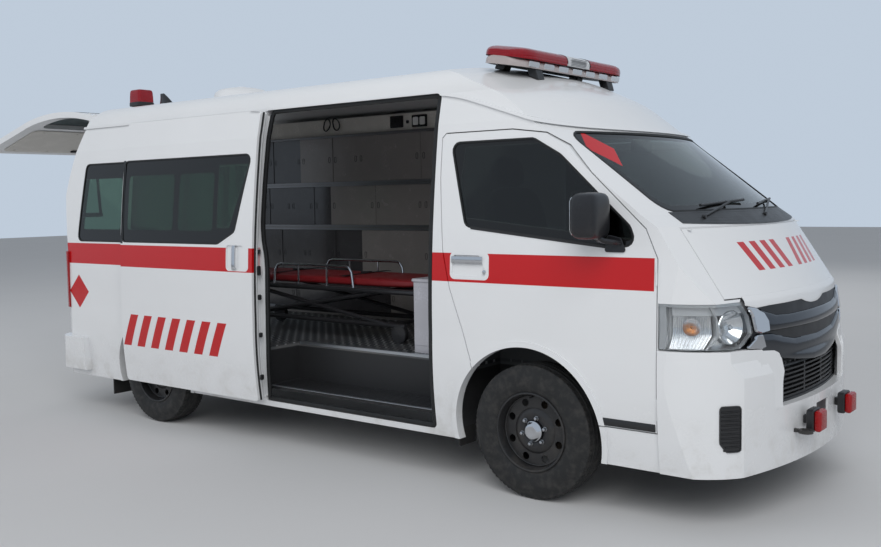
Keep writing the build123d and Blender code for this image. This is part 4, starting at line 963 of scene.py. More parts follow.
def headlamps():
    """Both headlamps: cover, silver surround, bright bowl ahead, fluted bowl behind, divider and amber bulb."""
    cover = lamp_slab(0.0004, 0.0030)
    walls = lamp_walls(0.006, 0.088)
    back = sheet(lamp_sheet(0.088, shrink=0.003))
    fluted = sheet(lamp_sheet(0.070, t0=0.47, t1=0.90, shrink=0.006, columns=150,
            wave=lambda t, v: 0.0028 * np.abs(np.sin(t * 150)) + 0.030 * (2 * v - 1) ** 2))
    divider = lamp_slab(0.010, 0.080, t0=0.44, t1=0.465, shrink=0.003, columns=6)
    strip = lamp_slab(0.006, 0.030, t0=0.915, t1=0.995, shrink=0.003, columns=8)
    brow = lamp_slab(0.005, 0.030, z0=0.93, z1=0.995, rows=5, shrink=0.002)
    middle = around_corner(np.array(0.62), np.array(0.925), -0.045)
    aim = (0.94, 0.32, 0.0)
    main = bowl(middle, aim, 0.078, 0.055, squash=0.95)
    section = [(0.0795, -0.004), (0.083, 0.0), (0.0795, 0.004), (0.0765, 0.0), (0.0795, -0.004)]
    points, faces = turned(section, (0, 0, 0), "x", 72)
    turn_by = math.atan2(aim[1], aim[0])
    c, s = math.cos(turn_by), math.sin(turn_by)
    x, y, z = points.T
    ring = (xyz(x * c - y * s, x * s + y * c, z * 0.95) + middle, faces)
    bulb = globe(middle + np.array([-0.012, -0.004, 0.0]), (0.022, 0.012, 0.012))
    shade = globe(middle + np.array([-0.002, 0.0, 0.0]), (0.008, 0.014, 0.014))
    side_bulb = around_corner(np.array(1.16), np.array(0.933), -0.038)
    amber = globe(side_bulb, (0.006, 0.008, 0.008))
    small = bowl(side_bulb + np.array([0.0, -0.002, 0.0]), (0.35, 0.94, 0.0), 0.040, 0.022)
    for name, turn in (("right", flipped), ("left", lambda part: part)):
        node = ["front_lamps"] if name == "right" else []
        piece("headlamp_cover_" + name, turn(cover), clear_lens, "body", 40, node)
        piece("headlamp_surround_" + name, [turn(walls), turn(divider), turn(strip), turn(brow)], grey_frame,
            "body", 40, outward=False)
        piece("headlamp_reflector_" + name, [turn(back), turn(fluted), turn(small)], bowl_chrome, "body", 60,
            outward=False)
        piece("headlamp_bowl_" + name, [turn(main), turn(ring)], bowl_chrome, "body", 60, outward=False)
        piece("headlamp_bulb_" + name, [turn(bulb), turn(shade)], clear_lens, "body")
        piece("indicator_bulb_" + name, turn(amber), amber_lens, "body")


headlamps()


# Bumper, grille and nose

def louvre(sign):
    """Black louvred blank wrapped round the bumper's corner: place = skin at (angle + run / radius, height)."""
    middle = 0.734
    def place(u, v, w):
        angle = middle + u / 0.400
        skin = around_corner(angle, v, 0.0130)
        return (skin - w[..., None] * xyz(np.cos(angle), np.sin(angle), 0 * u)) * (1, sign, 1)
    low, high = 0.374, 0.580
    outline = denser(rounded([(-0.048, low), (0.018, low), (0.048, low + 0.040), (0.048, high), (-0.048, high)],
            0.012, 5), 0.012)
    parts = [plate(outline, 0.0030, lambda u, v, w: place(u, v, w - 0.0020), 0.001)]
    rim = place(outline[:, 0], outline[:, 1], 0 * outline[:, 0] - 0.0022)
    normal = np.array([math.cos(middle), sign * math.sin(middle), 0.0])
    parts.append(swept(rim, mirrored([(0.0035, -0.002), (0.0025, 0.0035)]), normal, True))
    for k in range(9):
        z = low + 0.022 + 0.0200 * k
        right = 0.010 + min(0.032, (z - low) * 0.65)
        run = np.linspace(-0.042, right, 14)
        path = place(run, np.full(14, z), np.full(14, -0.0030))
        parts.append(swept(path, [(-0.0040, -0.0020), (0.0045, -0.0015), (0.0030, 0.0028), (0.0, 0.0030)],
                normal))
    return parts


def strip_ahead(lower, upper, half, front, behind, columns=141, rows=15):
    """A strip across the nose between edges given over |y|: flat behind, bowed by a half circle in front."""
    y = np.linspace(-half, half, columns)[:, None]
    rise = np.linspace(0.0, 1.0, rows)[None, :]
    low, high = np.interp(np.abs(y), *lower), np.interp(np.abs(y), *upper)
    z = low + (high - low) * rise
    bow = np.sqrt(np.maximum(1 - (2 * rise - 1) ** 2, 0.0)) + 0 * y
    lift = behind + 0.002 + (front - behind - 0.002) * bow
    return slab_of(ahead(y + 0 * z, z, lift), ahead(y + 0 * z, z, behind + 0 * z))


def on_side(points, sign, radius, steps, pitch):
    """A rounded outline, given for the left side, on either side and with even points."""
    return denser(rounded([(sign * y, z) for y, z in points], radius, steps), pitch)


def grille_front():
    """Smoked bars, their plated ends, the black backing between them and the painted lip under the bonnet."""
    top = strip_ahead(((0.0, 0.52, 0.57), (0.884, 0.891, 0.896)),
        ((0.0, 0.32, 0.45, 0.53, 0.57), (0.956, 0.956, 0.963, 0.985, 0.998)), 0.570, 0.0130, 0.0)
    low = strip_ahead(((0.0, 0.09, 0.29, 0.43, 0.55, 0.63), (0.712, 0.713, 0.735, 0.757, 0.795, 0.813)),
        ((0.0, 0.29, 0.42, 0.50, 0.63), (0.827, 0.836, 0.861, 0.881, 0.888)), 0.630, 0.0120, -0.002)
    piece("grille_bars_plated", [top, low], smoked_chrome, "body", 50, ["grille_bars"])
    ends, wings, corners = [], [], []
    def on_corner(u, v, w):
        return ahead(u, v, 0.0128 - 0.0035 * np.clip((np.abs(u) - 0.52) / 0.06, 0, 1) - w)
    for sign in (-1, 1):
        horn = [(0.674, 1.018), (0.612, 1.006), (0.562, 0.985), (0.534, 0.944), (0.538, 0.893), (0.600, 0.889),
            (0.642, 0.900), (0.649, 0.975)]
        outline = on_side(horn, sign, 0.008, 4, 0.006)
        ends.append(plate(outline, 0.016, on_nose(0.0160), 0.005))
        wing = [(0.637, 0.884), (0.590, 0.884), (0.566, 0.822), (0.600, 0.818), (0.712, 0.830), (0.646, 0.868)]
        outline = on_side(wing, sign, 0.006, 4, 0.006)
        wings.append(plate(outline, 0.015, on_nose(0.0145), 0.004))
        edge = [(0.640, 0.812), (0.496, 0.800), (0.458, 0.786), (0.443, 0.757), (0.452, 0.700), (0.464, 0.651),
            (0.464, 0.545), (0.452, 0.522), (0.640, 0.522)]
        outline = on_side(edge, sign, 0.012, 5, 0.010)
        corners.append(plate(outline, 0.028, on_corner, 0.004))
    piece("grille_plated_ends", ends, chrome, "body", 35)
    piece("grille_wing_tips", wings, chrome, "body", 35)
    piece("bumper_inner_corners", corners, white, "body", 35)
    z = np.linspace(0.822, 1.034, 24)[:, None]
    y = np.linspace(-1.0, 1.0, 141)[None, :] * (np.minimum(lamp_front_edge(z), 0.660) - 0.004)
    piece("grille_backing", slab_of(ahead(y, z + 0 * y, -0.0012), ahead(y, z + 0 * y, -0.0036)), grille_black,
        "body", 40)
    lower = ((0.0, 0.05, 0.11, 0.166, 0.33, 0.49, 0.60, 0.674),
        (0.986, 0.987, 0.996, 1.012, 1.010, 1.010, 1.006, 1.022))
    lip = strip_ahead(lower, ((0.0, 0.674), (1.0635, 1.0635)), 0.674, 0.0042, 0.0008, rows=12)
    piece("bonnet_front_lip", lip, white_bonnet, "bonnet", 50)


grille_front()


def bumper_lamps():
    """Two lamps on the bumper: a black housing on a short stub, and a red lens with rounded edges."""
    housings, lenses = [], []
    for sign in (-1, 1):
        y, z = sign * 0.250, 0.440
        housings.append(plate(centred(y, z, 0.055, 0.055, 0.014, 5), 0.036, facing_front(3.3610), 0.005))
        housings.append(plate(centred(y, z, 0.020, 0.020, 0.006, 4), 0.026, facing_front(3.3270), 0.002))
        lenses.append(plate(centred(y, z, 0.051, 0.051, 0.014, 6), 0.0345, facing_front(3.3948), 0.009))
    piece("bumper_lamp_housings", housings, black_plastic, "body", 35, ["bumper_lamps"])
    piece("bumper_lamp_lenses", lenses, red_lens, "body", 50)


bumper_lamps()


def nose_fittings():
    """Louvres, the blank place of the number plate, and the slotted panel below the windscreen."""
    for name, sign in SIDES:
        piece("bumper_louvre_" + name, louvre(sign), black_plastic, "body", 30)
    blank = plate(rect(-0.090, 0.404, 0.090, 0.490, 0.010, 4), 0.0012, on_nose(0.0018), 0.0003)
    piece("number_plate_blank", blank, black_plastic, "body", 30)
    y = np.linspace(-0.745, 0.745, 121)[:, None]
    rise = np.linspace(0.0, 1.0, 22)[None, :]
    low = 1.380 + 0.018 * (y / 0.745) ** 2
    z = low + (1.4500 - low) * rise
    slots = 0.0012 * np.sin(rise * 50) * (np.abs(y) < 0.62)
    top, under = ahead(y + 0 * z, z, 0.0035 + slots), ahead(y + 0 * z, z, 0.0004 + 0 * z)
    piece("cowl_panel", slab_of(top, under), black_plastic, "body", 40)


nose_fittings()


# Roof equipment

BAR_CENTRE = (1.773, 0.0, 2.302)
BAR_TILT = math.radians(10)


def on_bar(points):
    """Points in the light bar's own frame, (forward, left, up), tipped nose down and set in place."""
    p = np.asarray(points, float)
    c, s = math.cos(BAR_TILT), math.sin(BAR_TILT)
    return xyz(BAR_CENTRE[0] + p[..., 0] * c + p[..., 2] * s, p[..., 1],
        BAR_CENTRE[2] - p[..., 0] * s + p[..., 2] * c)


def dome(y0, y1, low, high, wide, fade0=0.0, fade1=0.0, ribs=0.0, sag=0.45, rows=60, columns=44):
    """A length of the bar's cover: a superellipse section, drawn in at a free end as a quarter circle."""
    t = np.linspace(-1, 1, rows)[:, None]
    a = full_turn(columns)[None, :]
    y = (y0 + y1) / 2 + (y1 - y0) / 2 * np.sin(t * math.pi / 2)
    draw = np.ones_like(y)
    cut = np.zeros_like(y)
    for reach, run in ((fade0, y - y0), (fade1, y1 - y)):
        if reach:
            near = np.clip(1 - run / reach, 0, 1)
            draw = draw * (0.40 + 0.60 * np.sqrt(np.maximum(1 - near ** 2, 0)))
            cut = np.maximum(cut, near)
    c, sn = np.cos(a), np.sin(a)
    x = wide / 2 * bent(c, 0.36) * draw
    crown = (high - low) * np.abs(sn) ** 0.58 * (1 - sag * cut ** 3)
    z = np.where(sn >= 0, crown, 0.0) + low
    z = z - ribs * np.abs(np.sin(y * 260)) * (sn > 0.1)
    grid = on_bar(xyz(x, y + 0 * a, z))
    return capped(grid)


def facing_bar(x):
    """Places (left, up, depth) on an upright plane in the bar's own frame."""
    return lambda u, v, w: on_bar(xyz(x - w + 0 * u, u, v))


def foot_height(x):
    """The roof's height beside the middle where a foot stands, straight between measured places."""
    return float(np.interp(x, (1.62, 1.68, 1.74, 1.80, 1.86, 1.92),
            (2.2531, 2.2383, 2.2235, 2.2083, 2.1886, 2.1628))) + 0.0015


def light_bar():
    """Light bar: tray with lamps behind its front, red domes, a white speaker section, and black feet."""
    piece("light_bar_tray", dome(-0.598, 0.598, -0.052, -0.0065, 0.284, 0.16, 0.16, sag=0.0), tray_clear,
        "body", 40, ["light_bar"])
    piece("light_bar_base", dome(-0.580, 0.580, -0.0535, -0.046, 0.262, 0.15, 0.15, sag=0.0), black_plastic,
        "body", 40)
    piece("light_dome_right", dome(-0.599, -0.129, -0.007, 0.0535, 0.294, 0.16, 0.0, 0.0010), dome_red, "body",
        35)
    piece("light_dome_left", dome(0.129, 0.599, -0.007, 0.0535, 0.294, 0.0, 0.16, 0.0010), dome_red, "body", 35)
    piece("speaker_dome", dome(-0.127, 0.127, -0.007, 0.0525, 0.290), dome_white, "body", 35)
    a = np.linspace(0.05, math.pi - 0.05, 40)
    rim = xyz(0.1462 * bent(np.cos(a), 0.36), 0 * a, -0.007 + 0.0605 * np.abs(np.sin(a)) ** 0.58)
    bands = []
    for y in (-0.128, 0.128):
        flat = mirrored([(0.0035, -0.0012), (0.0035, 0.0008)])
        bands.append(swept(on_bar(rim + (0, y, 0)), flat, (0, 0.02, 1)))
    piece("speaker_bands", bands, black_plastic, "body", 30)
    slots = []
    for k in range(6):
        z = 0.001 + 0.0072 * k
        outline = rect(-0.085, z - 0.002, 0.085, z + 0.002, 0.0018, 3)
        slots.append(plate(outline, 0.003, facing_bar(0.1458), 0.0004))
    piece("speaker_grille", slots, grille_grey, "body", 30)
    s = full_turn(200)
    ends = xyz(0.1450 * bent(np.cos(s), 0.30), 0.5900 * bent(np.sin(s), 0.46), 0 * s - 0.0085)
    gasket = swept(on_bar(denser(ends, 0.02)), [(-0.0012, -0.002), (0.0012, -0.002), (0.0008, 0.002),
            (-0.0012, 0.002)], (0, 0, 1), True)
    piece("light_bar_gasket", gasket, seal_rubber, "body")
    inner = []
    for y in (-0.50, -0.36, -0.22, 0.22, 0.36, 0.50):
        spot = bowl((0.0, 0.0, 0.0), (1.0, 0.0, 0.0), 0.028, 0.030, 12)
        inner.append((on_bar(spot[0] * (1, 1, 0.9) + (0.070, y, 0.020)), spot[1]))
    piece("light_bar_beacons", inner, bowl_chrome, "body", outward=False)
    lamps = []
    for y in np.linspace(-0.46, 0.46, 7):
        outline = rect(y - 0.052, -0.046, y + 0.052, -0.016, 0.008, 4)
        lamps.append(plate(outline, 0.004, facing_bar(0.1425), 0.001))
    piece("tray_lamps", lamps, bowl_chrome, "body")
    feet = []
    for y in (-0.400, 0.400):
        for rear, front in ((1.655, 1.715), (1.825, 1.885)):
            lean = 0.030 if front > 1.8 else -0.030
            foot = [(x + lean, foot_height(x + lean)) for x in (rear, front)]
            top = [(x, 2.590 - 0.1763 * x + 0.012) for x in (front, rear)]
            outline = rounded(foot + top, 0.005, 4)
            feet.append(plate(outline, 0.070, lambda u, v, w, y=y: xyz(u, y - 0.035 + w, v), 0.003))
    piece("light_bar_feet", feet, black_plastic, "body", 30)


light_bar()


def roof_fittings():
    """The beacon's boxy cap, base and reflector, the vent's round cover and the fin of the aerial."""
    x, y = -1.580, -0.500
    square = mirrored([(0.068, -0.068), (0.068, 0.068)])
    levels = ((2.292, 1.0), (2.330, 0.985), (2.366, 0.955), (2.379, 0.900), (2.3845, 0.800))
    ring = rounded(square, 0.022, 8)
    grid = np.stack([np.concatenate([ring * k, np.full((len(ring), 1), z)], 1) for z, k in levels]) + (x, y, 0)
    piece("beacon_cap", capped(grid), dome_red, "body", 30, ["rear_beacon"])
    base = plate(rounded(square, 0.026, 8) * 1.05 + (x, y), 0.030, facing_up(2.2625), 0.004)
    piece("beacon_base", base, black_plastic, "body", 40)
    drum = turned([(0.0, 2.2925), (0.030, 2.2925), (0.034, 2.318), (0.034, 2.350), (0.0, 2.356)], (x, y, 0),
        "z", 32)
    piece("beacon_reflector", drum, bowl_chrome, "body")
    cover = turned([(0.0, 2.3838), (0.034, 2.3838), (0.038, 2.3800), (0.040, 2.3735), (0.118, 2.3700),
            (0.166, 2.3590), (0.194, 2.3390), (0.2045, 2.3140), (0.2065, 2.2800), (0.2065, 2.2550),
            (0.0, 2.2550)], (*VENT, 0), "z", 96)
    piece("vent_cover", cover, vent_white, "body", 34, ["roof_vent"])
    groove = turned([(0.2045, 2.2850), (0.2085, 2.2845), (0.2090, 2.2870), (0.2085, 2.2895), (0.2045, 2.2890),
            (0.2045, 2.2850)], (*VENT, 0), "z", 96)
    piece("vent_groove_seal", groove, seal_rubber, "body", 40)
    fx, fy, fz = -1.280, -0.500, 2.262
    t = np.linspace(0, 1, 16)[:, None]
    a = full_turn(24)[None, :]
    chord = 0.075 * (1 - 0.70 * t)
    grid = xyz(fx + chord * np.cos(a) - 0.045 * t ** 1.4, fy + (0.021 * (1 - t) ** 0.8 + 0.002) * np.sin(a),
        fz + 0.078 * t + 0 * a)
    piece("aerial_fin", capped(grid), gloss_black, "body", 50)


roof_fittings()


# Seals and side fittings

FRONT_WINDOW = [(1.650, 1.822), (2.160, 1.822), (2.320, 1.735), (2.710, 1.390), (2.750, 1.296), (2.590, 1.296),
    (1.765, 1.385)]
QUARTER_WINDOW = [(-1.835, 1.262), (-1.245, 1.262), (-1.245, 1.823), (-1.765, 1.823)]
MIDDLE_WINDOW = [(-1.165, 1.268), (-0.130, 1.268), (0.030, 1.345), (0.160, 1.823), (-1.165, 1.823)]
FORWARD_WINDOW = [(0.250, 1.268), (1.450, 1.268), (1.450, 1.823), (0.250, 1.823)]


def side_seal(outline, sign, out=0.0, back=0.0):
    """A rubber bead round a window: a low D-shaped profile swept along the rounded outline on the skin."""
    width, proud, deep = 0.011, 0.0025, 0.0045
    line = denser(rounded(outline, 0.040, 8), 0.018)
    path = side(sign, 0.0, out, back)(line[:, 0], line[:, 1], np.zeros(len(line)))
    profile = mirrored([(width * 0.5, -deep), (width * 0.5, proud * 0.3), (width * 0.2, proud)])
    return swept(path, profile, (0, sign, 0), True)


def slider_seals():
    """The sliding door's window bead and edge strip, on the door as it stands drawn back."""
    parts = [side_seal([(x + SLIDE_BACK, z) for x, z in MIDDLE_WINDOW], -1, SLIDE_OUT, SLIDE_BACK)]
    piece("sliding_window_seal", parts, seal_rubber, "body", 40)
    strip = side(-1, -0.022, SLIDE_OUT, SLIDE_BACK)
    z = np.linspace(0.300, 2.080, 80)
    path = strip(np.full_like(z, 1.5475), z)
    piece("sliding_door_edge_seal", swept(path, circle(0.006, 10), (1, 0, 0)), seal_rubber, "body")


post = rect(-1.252, 1.256, -1.150, 1.829, 0.004, 3)
piece("window_post_cover", plate(post, 0.0022, side(-1), 0.0006), gloss_black, "body", 30)
post = rect(-1.1735, 1.256, -1.1500, 1.829, 0.003, 3)
piece("slider_post_cover", plate(post, 0.0022, side(-1, 0.0, SLIDE_OUT), 0.0006), gloss_black, "body", 30)
for name, sign in SIDES:
    piece("cab_window_seal_" + name, side_seal(FRONT_WINDOW, sign), seal_rubber, "door_" + name, 40)
    windows = [QUARTER_WINDOW, MIDDLE_WINDOW] + ([FORWARD_WINDOW] if sign > 0 else [])
    beads = [side_seal(window, sign) for window in windows]
    piece("side_window_seals_" + name, beads, seal_rubber, "body", 40)
slider_seals()


def screen_seal():
    """Bead round the windscreen, on the nose's skin."""
    half = 0.755
    line = denser(rect(-half, 1.452, half, 1.852, 0.060, 8), 0.02)
    path = ahead(line[:, 0], line[:, 1])
    return swept(path, mirrored([(0.007, -0.004), (0.007, 0.001), (0.003, 0.0025)]), (1, 0, 0.6), True)


piece("windscreen_seal", screen_seal(), seal_rubber, "body", 40)


def doorway_trim():
    """Doorway: thick rubber seal with a bend at the belt, white jamb, catches, floor edge and step tread."""
    rear_z = np.array([0.300, 0.371, 0.636, 1.000, 1.111, 1.200, 1.290, 1.392, 1.646, 1.950, 2.060])
    rear_x = np.array([0.205, 0.214, 0.232, 0.236, 0.236, 0.226, 0.200, 0.188, 0.190, 0.198, 0.205])
    z = np.linspace(0.300, 2.078, 90)
    rear = np.stack([np.interp(z, rear_z, rear_x), z], 1)
    rear[1:-1, 0] = np.convolve(rear[:, 0], np.ones(3) / 3, "same")[1:-1]
    top = np.stack([np.linspace(0.240, 1.490, 60), np.full(60, 2.084)], 1)
    front = np.stack([np.full(90, 1.532), z[::-1]], 1)
    foot = np.stack([np.linspace(1.490, 0.240, 60), np.full(60, 0.298)], 1)
    corner = [(0.215, 2.081), (1.515, 2.081), (1.515, 0.300), (0.220, 0.299)]
    line = denser(np.concatenate([rear[:-1], [corner[0]], top, [corner[1]], front, [corner[2]], foot,
                [corner[3]]]), 0.016)
    inner = side(-1, -0.012)
    path = inner(line[:, 0], line[:, 1], np.zeros(len(line)))
    bead = swept(path, [(-0.014, -0.012), (0.012, -0.012), (0.014, 0.004), (0.006, 0.009), (-0.006, 0.009),
            (-0.014, 0.004)], (0, -1, 0), True)
    piece("doorway_seal", bead, seal_rubber, "body", 60)
    rise = np.linspace(0.310, 2.060, 70)[:, None]
    across = np.linspace(0.0, 1.0, 8)[None, :]
    reach = np.interp(rise, rear_z, rear_x) - 0.004
    x = 0.1665 + (reach - 0.1665) * across
    skin = side(-1, -0.014)
    z = rise + 0 * x
    piece("door_jamb", slab_of(skin(x, z), skin(x, z, -0.004)), white, "body", 40)
    catches = []
    for z, long in ((1.105, 0.060), (0.940, 0.034), (0.705, 0.030), (0.440, 0.034)):
        outline = rect(-0.976, z - long / 2, -0.948, z + long / 2, 0.009, 5)
        catches.append(plate(outline, 0.012, facing_back(0.2000), 0.003))
    piece("door_edge_catches", catches, black_plastic, "body", 30)
    parts = [plate(rect(0.190, -0.622, 1.525, -0.600, 0.004, 3), 0.0035, facing_up(0.6201), 0.001)]
    parts.append(plate(rect(0.190, 0.604, 1.525, 0.6225, 0.004, 3), 0.003, facing_right(-0.6152), 0.001))
    piece("floor_edge_plate", parts, alloy, "body", 30)
    ribs = []
    for k in range(9):
        y = -0.650 - 0.028 * k
        rib = rect(0.225, y - 0.0045, 1.495, y + 0.0045, 0.004, 3)
        ribs.append(plate(rib, 0.004, facing_up(0.3801), 0.001))
    piece("step_tread_ribs", ribs, black_plastic, "body", 30)
    threshold = rect(0.180, -0.902, 1.535, -0.880, 0.003, 3)
    piece("step_edge_plate", plate(threshold, 0.003, facing_up(0.3802), 0.0008), alloy, "body", 30)


doorway_trim()


def door_handle(centre, size, upright, sign, out=0.0):
    """A plated pull: a bar with a rounded section that stands off its pocket and curves in at both ends."""
    t = np.linspace(-1, 1, 30)
    lift = 0.0080 - 0.0040 * t ** 8
    long = size[0] / 2 * t
    zero = 0 * t
    x = centre[0] + (zero if upright else long)
    z = centre[1] + (long if upright else zero)
    place = side(sign, 0.0, out)
    path = place(x, z, lift)
    half = size[1] / 2
    profile = [(-half, -0.006), (-half * 0.8, -0.010), (half * 0.8, -0.010), (half, -0.006),
        (half * 0.96, 0.0015), (half * 0.6, 0.0042), (-half * 0.6, 0.0042), (-half * 0.96, 0.0015)]
    return swept(path, profile, (0, sign, 0))


def side_fittings():
    """Plated handles, lock barrels, black strips on the cab doors, front flaps and the fuel flap."""
    for name, sign in SIDES:
        piece("cab_door_handle_" + name, door_handle((1.782, 1.211), (0.195, 0.036), False, sign), chrome,
            "door_" + name, 50)
        lock = turned([(0.0, 0.0), (0.0105, 0.0), (0.0105, 0.0035), (0.0085, 0.0050), (0.0, 0.0052)], (0, 0, 0),
            "y", 24, sign)
        spot = side(sign)(np.array([1.892]), np.array([1.150]))[0]
        piece("cab_door_lock_" + name, (lock[0] + spot, lock[1]), chrome, "door_" + name)
        x = np.linspace(2.566, 2.845, 24)
        place = side(sign)
        path = place(x, np.full_like(x, 0.462))
        strip = swept(path, mirrored([(0.018, -0.004), (0.018, 0.003), (0.014, 0.006)]), (0, sign, 0))
        piece("door_sill_strip_" + name, strip, black_plastic, "door_" + name, 40)
        x = np.linspace(1.800, 2.600, 40)
        belt = place(x, np.interp(x, (1.765, 2.590), (1.380, 1.291)))
        piece("window_wiper_strip_" + name, swept(belt, mirrored([(0.007, -0.004), (0.006, 0.003)]),
                (0, sign, 0)), black_plastic, "door_" + name, 40)
        flap = rect(sign * 0.735, 0.200, sign * 0.885, 0.500, 0.012, 4)
        piece("front_flap_" + name, plate(flap, 0.008, facing_back(1.676), 0.001), flap_rubber, "body", 30)
    piece("sliding_door_handle", door_handle((0.0325, 1.184), (0.150, 0.030), True, -1, SLIDE_OUT), chrome,
        "body", 50)
    filler = rect(0.080, 0.800, 0.250, 0.965, 0.030, 6)
    piece("fuel_flap", plate(filler, 0.0022, lambda u, v, w: side(1)(u, v, w + 0.0002), 0.0010), white, "body",
        30)


side_fittings()


# Cab

def padded(name, parts, finish, body, fill=0.7, replaces=()):
    """A stuffed piece, shaded smooth all over."""
    obj = piece(name, parts, finish, body, 180, replaces)
    return obj


def puffed(obj, steps, cap):
    """Cloth pressure swells a padded piece a little: gravity off, and no point moves past the cap."""
    remesh = obj.modifiers.new("even mesh", "REMESH")
    remesh.mode = "VOXEL"
    remesh.voxel_size = 0.012
    bpy.context.view_layer.objects.active = obj
    with bpy.context.temp_override(object=obj, active_object=obj, selected_objects=[obj]):
        bpy.ops.object.modifier_apply(modifier="even mesh")
    start = np.empty(len(obj.data.vertices) * 3)
    obj.data.vertices.foreach_get("co", start)
    swell = obj.modifiers.new("stuffing", "CLOTH")
    swell.settings.use_pressure = True
    swell.settings.uniform_pressure_force = 4.0
    swell.settings.effector_weights.gravity = 0.0
    swell.settings.quality = 4
    scene = bpy.context.scene
    for step in range(1, steps + 1):
        scene.frame_set(step)
    solved = obj.evaluated_get(bpy.context.evaluated_depsgraph_get())
    moved = np.empty(len(start))
    solved.to_mesh().vertices.foreach_get("co", moved)
    shift = (moved - start).reshape(-1, 3)
    length = np.linalg.norm(shift, axis=1, keepdims=True)
    shift *= np.minimum(1.0, cap / np.maximum(length, 1e-9))
    solved.to_mesh_clear()
    obj.modifiers.remove(swell)
    scene.frame_set(1)
    obj.data.vertices.foreach_set("co", (start.reshape(-1, 3) + shift).ravel())
    obj.data.update()


def seats():
    """Two cab seats: base cushion, back and head rest, each its own pad, with piping and posts."""
    for name, sign in SIDES:
        y = sign * 0.450
        forms = (
            ("seat_cushion_", (2.060, y, 0.926), (0.500, 0.530, 0.150), 0, (6, 4), 0.06, 0.7),
            ("seat_back_", (1.800, y, 1.295), (0.130, 0.490, 0.610), -14, (5, 5), 0.05, 0.7),
            ("head_rest_", (1.712, y, 1.672), (0.095, 0.255, 0.165), -14, (4, 4), 0.03, 0.8),
        )
        pads = []
        for kind, centre, size, turn, power, crown, fill in forms:
            node = ["seats"] if kind == "seat_cushion_" and sign < 0 else []
            form = cushion(centre, size, turn, power, crown)
            pads.append(padded(kind + name, form, seat_cloth, "body", fill, node))
        for pad in pads:
            puffed(pad, 12, 0.006)
        posts = []
        for off in (-0.060, 0.060):
            posts.append(tube([(1.752, y + off, 1.530), (1.720, y + off, 1.660)], 0.006, 10, (0, 1, 0)))
        piece("head_rest_posts_" + name, posts, chrome, "body")
        s = full_turn(96)
        px = 0.240 * bent(np.cos(s), 2 / 6)
        py = 0.258 * bent(np.sin(s), 2 / 6)
        path = xyz(2.060 + px, y + py, np.full_like(px, 0.936))
        piece("seat_piping_" + name, tube(path, 0.004, 8, (0, 0, 1), True), seat_cloth, "body")


seats()


def cab_details():
    """Instrument hood, glove box lid, vents, column stalks, wheel hub pad, inner mirror and gear lever."""
    hood = cushion((2.700, 0.420, 1.335), (0.230, 0.420, 0.075), 8, (4, 3), 0.1, (48, 24))
    piece("instrument_hood", hood, black_plastic, "body", 180)
    def on_dash(u, v, w):
        return xyz(2.700 - 0.018 + 0.30 * (1.290 - v) * -1.0 - w, u, v)
    def on_lid(u, v, w):
        return xyz(2.6925 - 0.1333 * (v - 0.900) / 0.250 * 1.2 - w - 0.004, u, v)
    parts = []
    for y in (-0.62, -0.12, 0.12, 0.66):
        for k in range(4):
            z = 1.238 + 0.011 * k
            parts.append(plate(centred(y, z, 0.060, 0.003, 0.0025, 3), 0.008, on_dash, 0.001))
    piece("dash_vents", parts, black_plastic, "body", 30)
    lid = rect(-0.680, 1.000, -0.220, 1.120, 0.02, 5)
    piece("glove_box_lid", plate(lid, 0.006, on_lid, 0.002), dash_grey, "body", 30)
    mirror = rounded(mirrored([(0.115, 1.765), (0.108, 1.835)]), 0.022, 6)
    piece("inside_mirror", plate(mirror, 0.022, facing_back(2.300), 0.005), black_plastic, "body", 40)
    piece("inside_mirror_stem", tube([(2.318, 0, 1.805), (2.345, 0, 1.835), (2.366, 0, 1.848)], 0.008, 10,
            (0, 1, 0)), black_plastic, "body")
    facing = np.array([-0.86616, 0, 0.49976])
    centre = np.array([2.580, 0.420, 1.218])
    right = np.array([0, 1.0, 0])
    over = np.cross(facing, right)
    pad = rounded(mirrored([(0.062, -0.070), (0.072, 0.020), (0.040, 0.052)]), 0.02, 5)
    def at(u, v, w):
        return centre + u[..., None] * right - v[..., None] * over + (0.018 + w)[..., None] * facing
    piece("steering_hub_pad", plate(pad, 0.022, at, 0.006), black_plastic, "steering_wheel", 40)
    stalks = []
    for sign in (-1, 1):
        a = centre - 0.045 * facing
        stalks.append(tube([a, a + sign * 0.09 * right - 0.002 * over, a + sign * 0.165 * right + 0.012 * over],
                0.006, 10, (0, 0, 1)))
    piece("column_stalks", stalks, black_plastic, "body")
    lever = [tube([(2.560, 0.060, 0.960), (2.520, 0.055, 1.050), (2.500, 0.050, 1.120)], 0.008, 10, (0, 1, 0))]
    piece("gear_lever", lever, chrome, "body")
    piece("gear_knob", globe((2.497, 0.050, 1.135), (0.022, 0.022, 0.028)), black_plastic, "body")
    console = block((2.470, -0.050, 0.850), (2.640, 0.170, 0.965), 0.006, 0.02)
    piece("gear_console", console, dash_grey, "body", 40)


cab_details()


